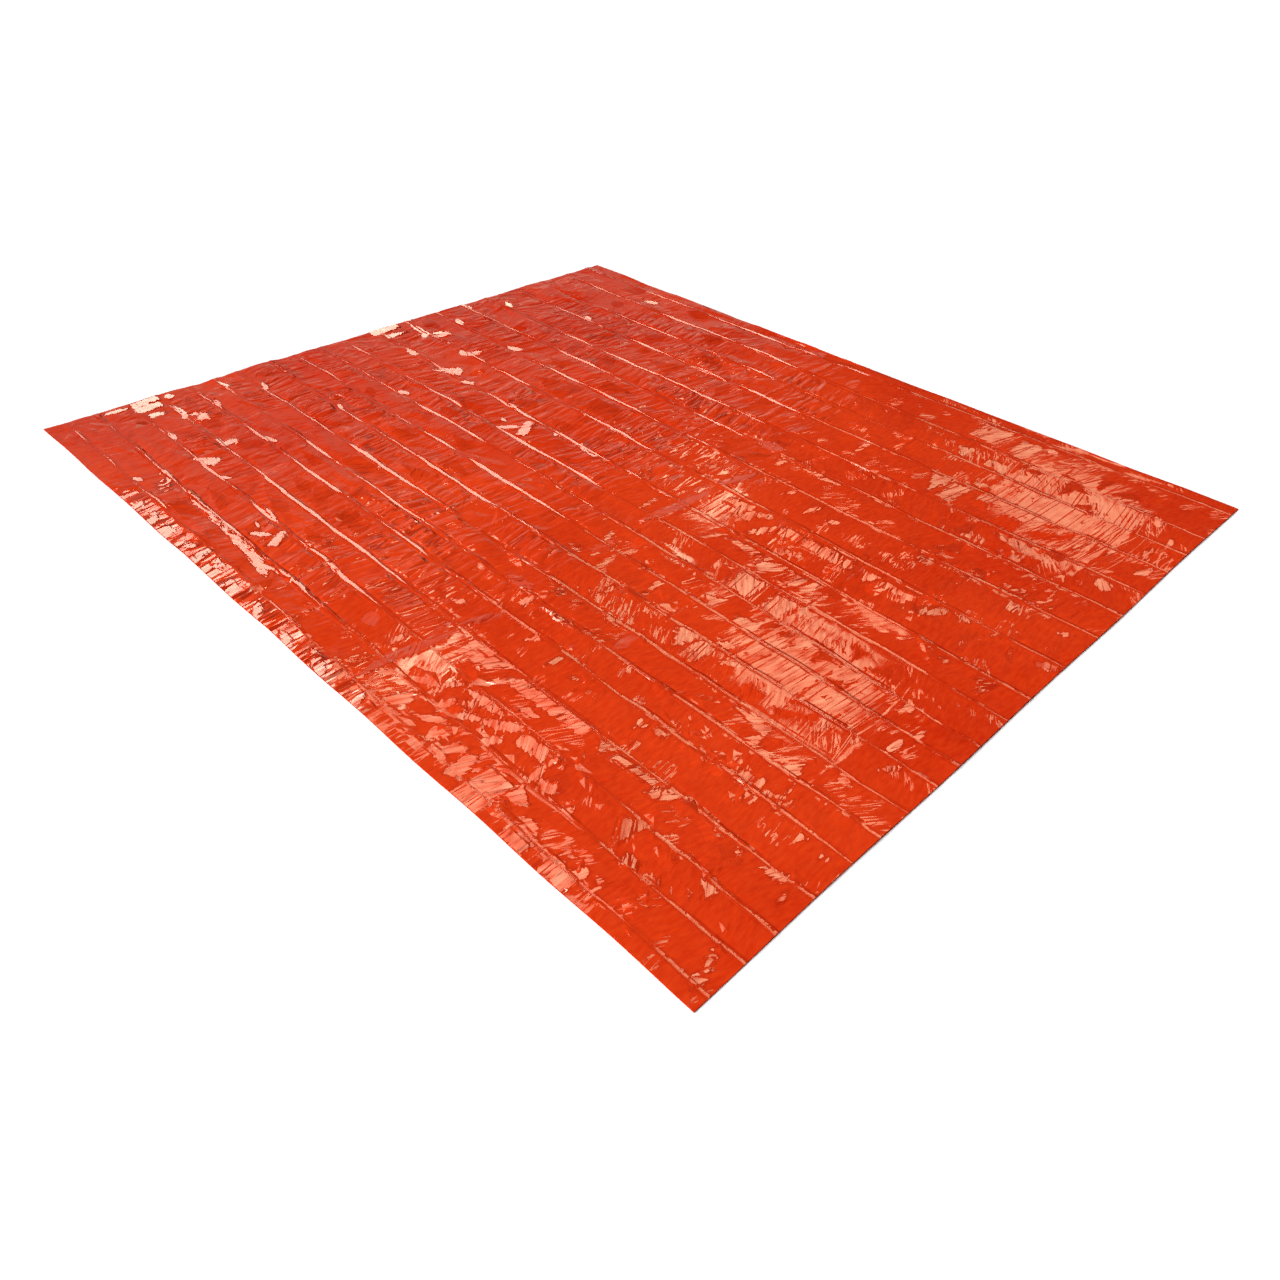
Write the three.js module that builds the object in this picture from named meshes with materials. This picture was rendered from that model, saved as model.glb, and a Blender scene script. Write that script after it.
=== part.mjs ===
// Emergency sleeping bag of thin glossy film, unfolded from its packet and laid out flat.
//
// It is one cut sheet. Its width runs along X, its length along Y, and its panels lie flat on Z = 0. The packing
// folds stand up between the panels as low ridges: long ones that run the whole length and wander a little, and
// shorter ones across them. The left margin and the far end lift off the floor in a few places.

import * as THREE from 'three';

// Driving dimensions, in millimetres
const SHEET_WIDTH = 1810;
const SHEET_LENGTH = 2130;
const FILM_THICKNESS = 1.2;

// Half width of a ridge where it leaves the floor
const LONG_FOLD_FOOT = 11;
const CROSS_FOLD_FOOT = 13;

// Length over which a cross fold dies out at each end
const CROSS_FOLD_FADE = 45;

// The cut edges stray inwards from straight by up to this much, in a few shallow waves
const EDGE_STRAY = 2.5;
const EDGE_WAVES = { left: 7, right: 4, near: 3, far: 6 };

// Longest stretch of film between two rows of points, and the least for which a lift gets a row of its own
const ROW_SPACING = 150;
const ROW_CLEARANCE = 30;

// Long folds, one row each, from the left margin to the right one. The first three columns are the distance from
// the left edge at the near end, half way and the far end. The others are the height of the ridge there.
const LONG_FOLDS = [
  { near: 28, middle: 44, far: 54, riseNear: 2.0, riseMiddle: 4.0, riseFar: 3.0 },
  { near: 98, middle: 111, far: 124, riseNear: 3.0, riseMiddle: 6.0, riseFar: 5.0 },
  { near: 167, middle: 193, far: 202, riseNear: 3.5, riseMiddle: 3.0, riseFar: 3.0 },
  { near: 248, middle: 269, far: 277, riseNear: 5.0, riseMiddle: 3.5, riseFar: 3.0 },
  { near: 341, middle: 358, far: 363, riseNear: 5.0, riseMiddle: 4.0, riseFar: 3.5 },
  { near: 410, middle: 424, far: 432, riseNear: 4.0, riseMiddle: 5.0, riseFar: 4.0 },
  { near: 480, middle: 493, far: 499, riseNear: 3.0, riseMiddle: 3.5, riseFar: 5.0 },
  { near: 565, middle: 577, far: 592, riseNear: 3.0, riseMiddle: 4.0, riseFar: 5.0 },
  { near: 637, middle: 658, far: 670, riseNear: 3.0, riseMiddle: 4.0, riseFar: 4.0 },
  { near: 708, middle: 736, far: 745, riseNear: 3.5, riseMiddle: 3.0, riseFar: 4.0 },
  { near: 783, middle: 808, far: 820, riseNear: 2.0, riseMiddle: 3.0, riseFar: 3.0 },
  { near: 860, middle: 897, far: 929, riseNear: 5.0, riseMiddle: 5.0, riseFar: 5.0 },
  { near: 985, middle: 1017, far: 1032, riseNear: 4.0, riseMiddle: 5.0, riseFar: 4.0 },
  { near: 1118, middle: 1132, far: 1145, riseNear: 4.5, riseMiddle: 4.0, riseFar: 4.0 },
  { near: 1217, middle: 1234, far: 1237, riseNear: 4.0, riseMiddle: 4.0, riseFar: 3.0 },
  { near: 1321, middle: 1327, far: 1332, riseNear: 3.0, riseMiddle: 4.0, riseFar: 5.0 },
  { near: 1445, middle: 1445, far: 1454, riseNear: 4.0, riseMiddle: 3.0, riseFar: 4.0 },
  { near: 1540, middle: 1549, far: 1555, riseNear: 3.0, riseMiddle: 4.0, riseFar: 4.0 },
  { near: 1635, middle: 1654, far: 1664, riseNear: 3.0, riseMiddle: 3.5, riseFar: 3.0 },
  { near: 1766, middle: 1766, far: 1757, riseNear: 2.0, riseMiddle: 3.0, riseFar: 2.5 },
];

// Cross folds, one row each, from the near end to the far one. left and right are the distance from the near end
// at the two long edges, start and stop the stretch of the width where the fold still stands, rise its height.
const CROSS_FOLDS = [
  { left: 150, right: 118, start: 350, stop: 1810, rise: 2.5 },
  { left: 290, right: 268, start: 90, stop: 720, rise: 2.0 },
  { left: 440, right: 428, start: 540, stop: 1700, rise: 2.0 },
  { left: 600, right: 590, start: 480, stop: 1810, rise: 3.0 },
  { left: 850, right: 838, start: 90, stop: 1030, rise: 3.0 },
  { left: 975, right: 985, start: 330, stop: 1250, rise: 2.0 },
  { left: 1065, right: 1092, start: 20, stop: 1800, rise: 3.5 },
  { left: 1168, right: 1203, start: 250, stop: 1220, rise: 2.5 },
  { left: 1686, right: 1680, start: 480, stop: 1460, rise: 3.0 },
];

// Places where the film lifts off the floor, as low domes. across and along are the distances from the left edge
// and from the near end, halfWidth and halfLength the reach of the dome, rise its height.
const LIFTS = [
  { across: 0, along: 905, halfWidth: 40, halfLength: 60, rise: 3.0 },
  { across: 0, along: 1068, halfWidth: 44, halfLength: 70, rise: 4.0 },
  { across: 0, along: 1250, halfWidth: 42, halfLength: 65, rise: 3.5 },
  { across: 0, along: 1400, halfWidth: 46, halfLength: 70, rise: 4.5 },
  { across: 0, along: 1545, halfWidth: 46, halfLength: 60, rise: 4.0 },
  { across: 0, along: 1740, halfWidth: 48, halfLength: 70, rise: 3.5 },
  { across: 236, along: 2130, halfWidth: 70, halfLength: 110, rise: 6.0 },
  { across: 975, along: 2130, halfWidth: 70, halfLength: 95, rise: 5.0 },
];

/** Height of a ridge's two straight flanks at a distance from its crest, from 1 at the crest to 0 at its foot. */
function ridge(distance, foot) {
  return Math.max(0, 1 - Math.abs(distance) / foot);
}

/** Value at a distance from the near end of a quantity given at the near end, half way and the far end. */
function alongSheet(y, near, middle, far) {
  const t = y / SHEET_LENGTH;
  return near * (1 - t) * (1 - 2 * t) + middle * 4 * t * (1 - t) + far * t * (2 * t - 1);
}

/** Distance of a long fold from the left edge, at a distance from the near end. */
function longFoldPlace(fold, y) {
  return alongSheet(y, fold.near, fold.middle, fold.far);
}

/** Distance of a cross fold or a row of points from the near end, at a distance from the left edge. */
function rowPlace(row, x) {
  return THREE.MathUtils.lerp(row.left, row.right, x / SHEET_WIDTH);
}

/** Height of the tallest long fold at a point. */
function longFoldHeight(x, y) {
  const heights = LONG_FOLDS.map((fold) => {
    const rise = alongSheet(y, fold.riseNear, fold.riseMiddle, fold.riseFar);
    return rise * ridge(x - longFoldPlace(fold, y), LONG_FOLD_FOOT);
  });
  return Math.max(...heights);
}

/** Height of the tallest cross fold at a point. */
function crossFoldHeight(x, y) {
  const heights = CROSS_FOLDS.map((fold) => {
    const begin = THREE.MathUtils.smoothstep(x, fold.start - CROSS_FOLD_FADE, fold.start);
    const end = 1 - THREE.MathUtils.smoothstep(x, fold.stop, fold.stop + CROSS_FOLD_FADE);
    return fold.rise * begin * end * ridge(y - rowPlace(fold, x), CROSS_FOLD_FOOT);
  });
  return Math.max(...heights);
}

/** Height that the lifts add at a point: each is a dome that meets the floor level at the end of its reach. */
function liftHeight(x, y) {
  return LIFTS.reduce((height, lift) => {
    const across = (x - lift.across) / lift.halfWidth;
    const along = (y - lift.along) / lift.halfLength;
    const dome = Math.max(0, 1 - across * across - along * along);
    return height + lift.rise * dome * dome;
  }, 0);
}

/** Distance that a cut edge strays inwards, at a share of its length. It is nothing at the corners. */
function edgeStray(share, waves) {
  return EDGE_STRAY * Math.sin(Math.PI * waves * share) ** 2;
}

/** Rows of points from the near end to the far one: three for each cross fold, one for each lift, and fillers. */
function sheetRows() {
  const rows = [{ left: 0, right: 0 }, { left: SHEET_LENGTH, right: SHEET_LENGTH }];
  for (const { left, right } of CROSS_FOLDS) {
    for (const step of [-CROSS_FOLD_FOOT, 0, CROSS_FOLD_FOOT]) {
      rows.push({ left: left + step, right: right + step });
    }
  }
  for (const { along } of LIFTS) {
    if (rows.every((row) => Math.abs(row.left - along) > ROW_CLEARANCE)) {
      rows.push({ left: along, right: along });
    }
  }
  rows.sort((a, b) => a.left - b.left);
  return rows.flatMap((row, k) => {
    if (k === 0) {
      return [row];
    }
    const last = rows[k - 1];
    const steps = Math.ceil((row.left - last.left) / ROW_SPACING);
    return Array.from({ length: steps }, (_, s) => ({
      left: THREE.MathUtils.lerp(last.left, row.left, (s + 1) / steps),
      right: THREE.MathUtils.lerp(last.right, row.right, (s + 1) / steps),
    }));
  });
}

/** Columns of points from the left edge to the right one: one on each edge and three for each long fold. */
function sheetColumns() {
  const left = {
    across: 0,
    place: (y) => edgeStray(y / SHEET_LENGTH, EDGE_WAVES.left),
  };
  const right = {
    across: SHEET_WIDTH,
    place: (y) => SHEET_WIDTH - edgeStray(y / SHEET_LENGTH, EDGE_WAVES.right),
  };
  const folds = LONG_FOLDS.flatMap((fold) =>
    [-LONG_FOLD_FOOT, 0, LONG_FOLD_FOOT].map((step) => ({
      across: fold.middle + step,
      place: (y) => longFoldPlace(fold, y) + step,
    })),
  );
  return [left, ...folds, right];
}

/** Underside of the film as rows of points. The points of the first and last rows stray from the cut line. */
function undersidePoints() {
  const rows = sheetRows();
  const columns = sheetColumns();
  const lastRow = rows.length - 1;
  return rows.map((row, j) =>
    columns.map(({ across, place }) => {
      const y = rowPlace(row, across);
      const x = place(y);
      const z = Math.max(longFoldHeight(x, y), crossFoldHeight(across, y)) + liftHeight(x, y);
      const share = across / SHEET_WIDTH;
      const nearStray = j === 0 ? edgeStray(share, EDGE_WAVES.near) : 0;
      const farStray = j === lastRow ? edgeStray(share, EDGE_WAVES.far) : 0;
      return new THREE.Vector3(x, y + nearStray - farStray, z);
    }),
  );
}

/** Closed solid between a grid of points and the same grid raised by the film's thickness. */
function filmGeometry(grid) {
  const rowCount = grid.length;
  const columnCount = grid[0].length;
  const layer = rowCount * columnCount;
  const lower = (i, j) => j * columnCount + i;
  const upper = (i, j) => layer + lower(i, j);
  const positions = [0, FILM_THICKNESS].flatMap((raised) =>
    grid.flat().flatMap((point) => [point.x - SHEET_WIDTH / 2, point.y - SHEET_LENGTH / 2, point.z + raised]),
  );
  const triangles = [];
  const quad = (a, b, c, d) => triangles.push(a, b, c, a, c, d);
  for (let j = 0; j < rowCount - 1; j += 1) {
    for (let i = 0; i < columnCount - 1; i += 1) {
      quad(upper(i, j), upper(i + 1, j), upper(i + 1, j + 1), upper(i, j + 1));
      triangles.push(lower(i, j), lower(i + 1, j + 1), lower(i + 1, j));
      triangles.push(lower(i, j), lower(i, j + 1), lower(i + 1, j + 1));
    }
  }
  const lastRow = rowCount - 1;
  const lastColumn = columnCount - 1;
  for (let i = 0; i < lastColumn; i += 1) {
    quad(lower(i, 0), lower(i + 1, 0), upper(i + 1, 0), upper(i, 0));
    quad(lower(i + 1, lastRow), lower(i, lastRow), upper(i, lastRow), upper(i + 1, lastRow));
  }
  for (let j = 0; j < lastRow; j += 1) {
    quad(lower(0, j + 1), lower(0, j), upper(0, j), upper(0, j + 1));
    quad(lower(lastColumn, j), lower(lastColumn, j + 1), upper(lastColumn, j + 1), upper(lastColumn, j));
  }
  const geometry = new THREE.BufferGeometry();
  geometry.setAttribute('position', new THREE.Float32BufferAttribute(positions, 3));
  geometry.setIndex(triangles);
  geometry.computeVertexNormals();
  return geometry;
}

/** The film sheet, folds and all, in glossy orange-red film. */
function filmSheet() {
  const film = new THREE.MeshStandardMaterial({ color: 0xdc2d0a, roughness: 0.18, metalness: 0.0 });
  const mesh = new THREE.Mesh(filmGeometry(undersidePoints()), film);
  mesh.name = 'film_sheet';
  return mesh;
}

const sleepingBag = new THREE.Group();
sleepingBag.add(filmSheet());

export default sleepingBag;
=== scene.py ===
"""Looks of an emergency sleeping bag of thin glossy film, unfolded from its packet and laid out flat.

The film is one sheet, worked out as heights over a grid that follows the packing folds. Places on it are
distances across from the left edge and along from the near end, in metres.
"""

import logging
import math
from dataclasses import dataclass
from dataclasses import field
from enum import Enum
from functools import partial
from functools import reduce
from typing import NamedTuple

import bpy
import numpy as np
from mathutils import Matrix
from mathutils import Vector
from numpy.typing import NDArray

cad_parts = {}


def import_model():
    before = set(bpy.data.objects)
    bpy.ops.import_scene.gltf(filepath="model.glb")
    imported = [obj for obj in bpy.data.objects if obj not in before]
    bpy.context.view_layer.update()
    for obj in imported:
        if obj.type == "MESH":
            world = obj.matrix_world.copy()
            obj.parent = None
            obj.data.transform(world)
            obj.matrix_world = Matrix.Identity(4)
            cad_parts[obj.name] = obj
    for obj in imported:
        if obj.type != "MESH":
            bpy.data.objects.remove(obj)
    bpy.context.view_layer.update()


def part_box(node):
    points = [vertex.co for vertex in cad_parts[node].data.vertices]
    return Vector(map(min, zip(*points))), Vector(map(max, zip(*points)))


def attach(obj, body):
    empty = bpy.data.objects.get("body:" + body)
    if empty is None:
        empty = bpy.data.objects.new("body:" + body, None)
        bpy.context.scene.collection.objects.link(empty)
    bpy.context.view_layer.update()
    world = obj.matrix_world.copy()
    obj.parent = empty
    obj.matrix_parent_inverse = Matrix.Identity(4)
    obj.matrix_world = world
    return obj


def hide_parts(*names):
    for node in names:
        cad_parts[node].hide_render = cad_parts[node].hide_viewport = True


Array = NDArray[np.float64]
Indices = NDArray[np.int64]
Colour = tuple[float, float, float, float]
Triple = tuple[float, float, float]
Socket = bpy.types.NodeSocket
Value = Socket | float | tuple[float, ...]
LOG = logging.getLogger("sleeping_bag")
FILM_NODE = "film_sheet"


class LongFold(NamedTuple):
    """A fold that runs the whole length: its place across and its height, at both ends and half way."""

    near: float
    middle: float
    far: float
    rise_near: float
    rise_middle: float
    rise_far: float


class CrossFold(NamedTuple):
    """A fold across the sheet: its place along at both long edges, the stretch where it shows, its height."""

    left: float
    right: float
    start: float
    stop: float
    rise: float


class Lift(NamedTuple):
    """A low dome where the film stands off the floor."""

    across: float
    along: float
    half_width: float
    half_length: float
    rise: float


class Repeat(NamedTuple):
    """How the right half repeats the left one: which stretch of it, how far stretched and how far moved."""

    start: float
    stop: float
    wide: float
    long: float
    long_until: float
    across: float
    along: float


REPEAT = Repeat(start=0.145, stop=0.800, wide=1.447, long=1.08, long_until=1.0, across=0.615, along=-0.045)


class Outline(Enum):
    """The outline of a flap: pointed at both ends, pointed at one end, or square."""

    LENS = "lens"
    DART = "dart"
    BLOCK = "block"


LENS, DART, BLOCK = Outline.LENS, Outline.DART, Outline.BLOCK


class Flap(NamedTuple):
    """A flat flap of film: its middle, half its length and width, its turn in degrees and its outline."""

    across: float
    along: float
    half_length: float
    half_width: float
    turn: float
    outline: Outline

    def repeated(self) -> "Flap":
        """The same flap in the right half of the sheet, which repeats the left one in a wider form.

        Returns:
            The flap, moved and stretched.
        """
        wide, long = REPEAT.wide, REPEAT.long
        run, climb = math.cos(math.radians(self.turn)), math.sin(math.radians(self.turn))
        return Flap(
            REPEAT.across + wide * self.across,
            self.along + (long - 1.0) * min(self.along, REPEAT.long_until) + REPEAT.along,
            self.half_length * math.hypot(wide * run, long * climb),
            self.half_width * math.hypot(wide * climb, long * run),
            math.degrees(math.atan2(long * climb, wide * run)),
            self.outline,
        )


class Zone(NamedTuple):
    """A stretch of film with more of some texture than the rest: its place and reach, and how much of it."""

    across: float
    along: float
    half_width: float
    half_length: float
    amount: float


class Profile(NamedTuple):
    """A value that changes from place to place in straight ramps, and stays level past both ends."""

    places: tuple[float, ...]
    values: tuple[float, ...]

    def at(self, places: Array) -> Array:
        """The value at each of some places."""
        return np.interp(places, self.places, self.values)


class Sway(NamedTuple):
    """A random curve along the sheet: how far it strays, the step between its random values, its ramps."""

    size: float
    pitch: float
    kinked: bool = False


# The packing folds along the sheet, from left to right.
LONG_FOLDS = (
    LongFold(0.028, 0.044, 0.054, 0.0012, 0.0018, 0.0012),
    LongFold(0.098, 0.111, 0.124, 0.0012, 0.0044, 0.0018),
    LongFold(0.167, 0.193, 0.202, 0.0014, 0.0022, 0.0020),
    LongFold(0.248, 0.269, 0.277, 0.0018, 0.0022, 0.0020),
    LongFold(0.341, 0.358, 0.363, 0.0018, 0.0024, 0.0018),
    LongFold(0.410, 0.424, 0.432, 0.0015, 0.0022, 0.0016),
    LongFold(0.480, 0.493, 0.499, 0.0012, 0.0022, 0.0018),
    LongFold(0.565, 0.577, 0.592, 0.0015, 0.0026, 0.0020),
    LongFold(0.626, 0.658, 0.670, 0.0015, 0.0026, 0.0018),
    LongFold(0.690, 0.736, 0.745, 0.0018, 0.0024, 0.0020),
    LongFold(0.783, 0.808, 0.820, 0.0009, 0.0010, 0.0010),
    LongFold(0.860, 0.897, 0.929, 0.0021, 0.0028, 0.0022),
    LongFold(0.985, 1.017, 1.032, 0.0021, 0.0030, 0.0022),
    LongFold(1.118, 1.132, 1.145, 0.0021, 0.0032, 0.0020),
    LongFold(1.217, 1.234, 1.237, 0.0018, 0.0028, 0.0018),
    LongFold(1.321, 1.327, 1.332, 0.0015, 0.0030, 0.0022),
    LongFold(1.434, 1.445, 1.454, 0.0018, 0.0034, 0.0022),
    LongFold(1.526, 1.549, 1.555, 0.0018, 0.0034, 0.0022),
    LongFold(1.621, 1.654, 1.664, 0.0018, 0.0034, 0.0022),
    LongFold(1.766, 1.766, 1.757, 0.0015, 0.0020, 0.0014),
)
# The packing folds across the sheet, from the near end to the far one.
CROSS_FOLDS = (
    CrossFold(0.150, 0.118, 0.350, 1.810, 0.0025),
    CrossFold(0.290, 0.268, 0.090, 0.720, 0.0020),
    CrossFold(0.440, 0.428, 0.540, 1.700, 0.0020),
    CrossFold(0.600, 0.590, 0.480, 1.810, 0.0030),
    CrossFold(0.850, 0.838, 0.090, 1.030, 0.0030),
    CrossFold(0.975, 0.985, 0.330, 1.250, 0.0020),
    CrossFold(1.065, 1.092, 0.020, 1.800, 0.0070),
    CrossFold(1.168, 1.203, 0.250, 1.220, 0.0025),
    CrossFold(1.686, 1.680, 0.480, 1.460, 0.0030),
)
# Places where the left margin stands off the floor.
LIFTS = (
    Lift(0.000, 0.905, 0.040, 0.060, 0.0020),
    Lift(0.000, 1.068, 0.044, 0.070, 0.0030),
    Lift(0.000, 1.250, 0.042, 0.065, 0.0025),
    Lift(0.000, 1.400, 0.046, 0.070, 0.0035),
    Lift(0.000, 1.545, 0.046, 0.060, 0.0030),
    Lift(0.000, 1.740, 0.048, 0.070, 0.0025),
)
# Small bright flaps in the far half and along the left edge.
GLINTS = (
    Flap(0.238, 2.110, 0.036, 0.014, 8, BLOCK),
    Flap(0.233, 2.075, 0.032, 0.014, 0, BLOCK),
    Flap(0.242, 2.028, 0.028, 0.014, -10, DART),
    Flap(0.210, 2.095, 0.030, 0.007, 90, BLOCK),
    Flap(0.298, 2.102, 0.014, 0.014, -20, LENS),
    Flap(0.165, 2.106, 0.034, 0.008, -8, LENS),
    Flap(0.285, 2.010, 0.042, 0.006, 92, LENS),
    Flap(0.278, 1.975, 0.018, 0.007, 60, LENS),
    Flap(0.303, 1.940, 0.021, 0.024, 175, DART),
    Flap(0.305, 1.968, 0.017, 0.007, -30, LENS),
    Flap(0.210, 1.897, 0.024, 0.008, 85, LENS),
    Flap(0.370, 1.985, 0.028, 0.007, 80, LENS),
    Flap(0.434, 2.078, 0.030, 0.005, 98, LENS),
    Flap(0.210, 1.738, 0.038, 0.019, 122, DART),
    Flap(0.226, 1.712, 0.012, 0.010, 20, LENS),
    Flap(0.296, 1.776, 0.026, 0.011, -15, LENS),
    Flap(0.280, 1.800, 0.020, 0.006, 80, LENS),
    Flap(0.370, 1.726, 0.026, 0.008, -75, LENS),
    Flap(0.118, 1.742, 0.014, 0.008, 15, LENS),
    Flap(0.116, 1.712, 0.018, 0.007, 60, LENS),
    Flap(0.082, 1.658, 0.026, 0.003, 12, LENS),
    Flap(0.088, 1.676, 0.030, 0.003, 8, LENS),
    Flap(0.094, 1.694, 0.028, 0.004, 6, LENS),
    Flap(0.100, 1.712, 0.022, 0.003, 10, LENS),
    Flap(0.062, 1.752, 0.018, 0.007, -70, LENS),
    Flap(0.116, 1.590, 0.055, 0.008, 80, LENS),
    Flap(0.107, 1.480, 0.055, 0.008, 88, LENS),
    Flap(0.102, 1.370, 0.050, 0.011, 86, LENS),
    Flap(0.097, 1.290, 0.040, 0.014, 75, LENS),
    Flap(0.088, 1.240, 0.030, 0.008, 70, LENS),
    Flap(0.112, 1.535, 0.050, 0.005, 86, LENS),
    Flap(0.105, 1.425, 0.050, 0.007, 87, LENS),
    Flap(0.100, 1.330, 0.040, 0.010, 82, LENS),
    Flap(0.088, 1.252, 0.022, 0.009, 60, LENS),
    Flap(0.109, 1.215, 0.048, 0.006, 100, LENS),
    Flap(0.115, 1.160, 0.036, 0.004, 96, LENS),
    Flap(0.200, 1.264, 0.018, 0.006, 40, LENS),
    Flap(0.199, 1.222, 0.050, 0.004, 91, LENS),
    Flap(0.197, 1.164, 0.018, 0.006, 65, LENS),
    Flap(0.193, 1.130, 0.026, 0.004, 84, LENS),
    Flap(0.150, 1.368, 0.028, 0.007, -50, LENS),
    Flap(0.168, 1.328, 0.027, 0.011, 35, BLOCK),
    Flap(0.163, 1.405, 0.016, 0.004, 75, LENS),
    Flap(0.207, 1.635, 0.022, 0.006, -60, LENS),
    Flap(0.205, 1.430, 0.045, 0.004, 85, LENS),
    Flap(0.508, 2.000, 0.028, 0.007, 75, LENS),
    Flap(0.755, 1.735, 0.024, 0.009, -70, LENS),
    Flap(0.588, 1.765, 0.022, 0.006, 78, LENS),
    Flap(0.012, 1.640, 0.022, 0.016, 40, LENS),
    Flap(0.014, 1.570, 0.030, 0.012, 60, LENS),
    Flap(0.012, 1.508, 0.022, 0.014, 100, BLOCK),
    Flap(0.016, 1.425, 0.030, 0.010, -60, LENS),
    Flap(0.020, 1.368, 0.024, 0.011, 15, BLOCK),
    Flap(0.018, 1.316, 0.022, 0.020, 0, BLOCK),
    Flap(0.016, 1.235, 0.026, 0.012, 70, LENS),
    Flap(0.014, 1.130, 0.034, 0.010, 60, LENS),
    Flap(0.010, 1.020, 0.030, 0.009, 80, LENS),
    Flap(0.015, 0.920, 0.046, 0.012, 72, LENS),
    Flap(0.014, 0.790, 0.022, 0.008, 30, LENS),
)
# Broad flaps in the far half that differ a little from the film around them.
DIM_FLAPS = (
    Flap(0.318, 1.880, 0.042, 0.030, -60, DART),
    Flap(0.325, 1.735, 0.038, 0.026, -45, LENS),
    Flap(0.318, 2.020, 0.050, 0.016, 80, LENS),
    Flap(0.402, 2.050, 0.034, 0.018, 20, LENS),
    Flap(0.560, 2.050, 0.045, 0.014, -42, BLOCK),
    Flap(0.575, 2.090, 0.030, 0.010, -42, LENS),
    Flap(0.780, 1.838, 0.032, 0.022, 90, BLOCK),
    Flap(0.690, 1.790, 0.036, 0.014, 70, LENS),
    Flap(0.540, 1.690, 0.036, 0.014, 5, BLOCK),
    Flap(0.157, 1.570, 0.055, 0.024, 90, DART),
    Flap(0.080, 1.560, 0.046, 0.020, 90, BLOCK),
    Flap(0.320, 1.505, 0.046, 0.026, 90, DART),
    Flap(0.320, 1.425, 0.030, 0.026, 0, BLOCK),
    Flap(0.318, 1.285, 0.048, 0.024, 90, BLOCK),
    Flap(0.225, 1.300, 0.044, 0.022, 80, DART),
    Flap(0.235, 1.440, 0.036, 0.020, 90, LENS),
    Flap(0.395, 1.585, 0.044, 0.022, 90, DART),
    Flap(0.395, 1.340, 0.050, 0.022, -80, DART),
    Flap(0.460, 1.480, 0.048, 0.024, 90, BLOCK),
    Flap(0.535, 1.380, 0.050, 0.028, 90, DART),
    Flap(0.620, 1.560, 0.042, 0.024, 90, DART),
    Flap(0.615, 1.310, 0.046, 0.026, -90, DART),
    Flap(0.700, 1.420, 0.046, 0.024, 80, DART),
    Flap(0.775, 1.560, 0.040, 0.020, 90, LENS),
)
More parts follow.
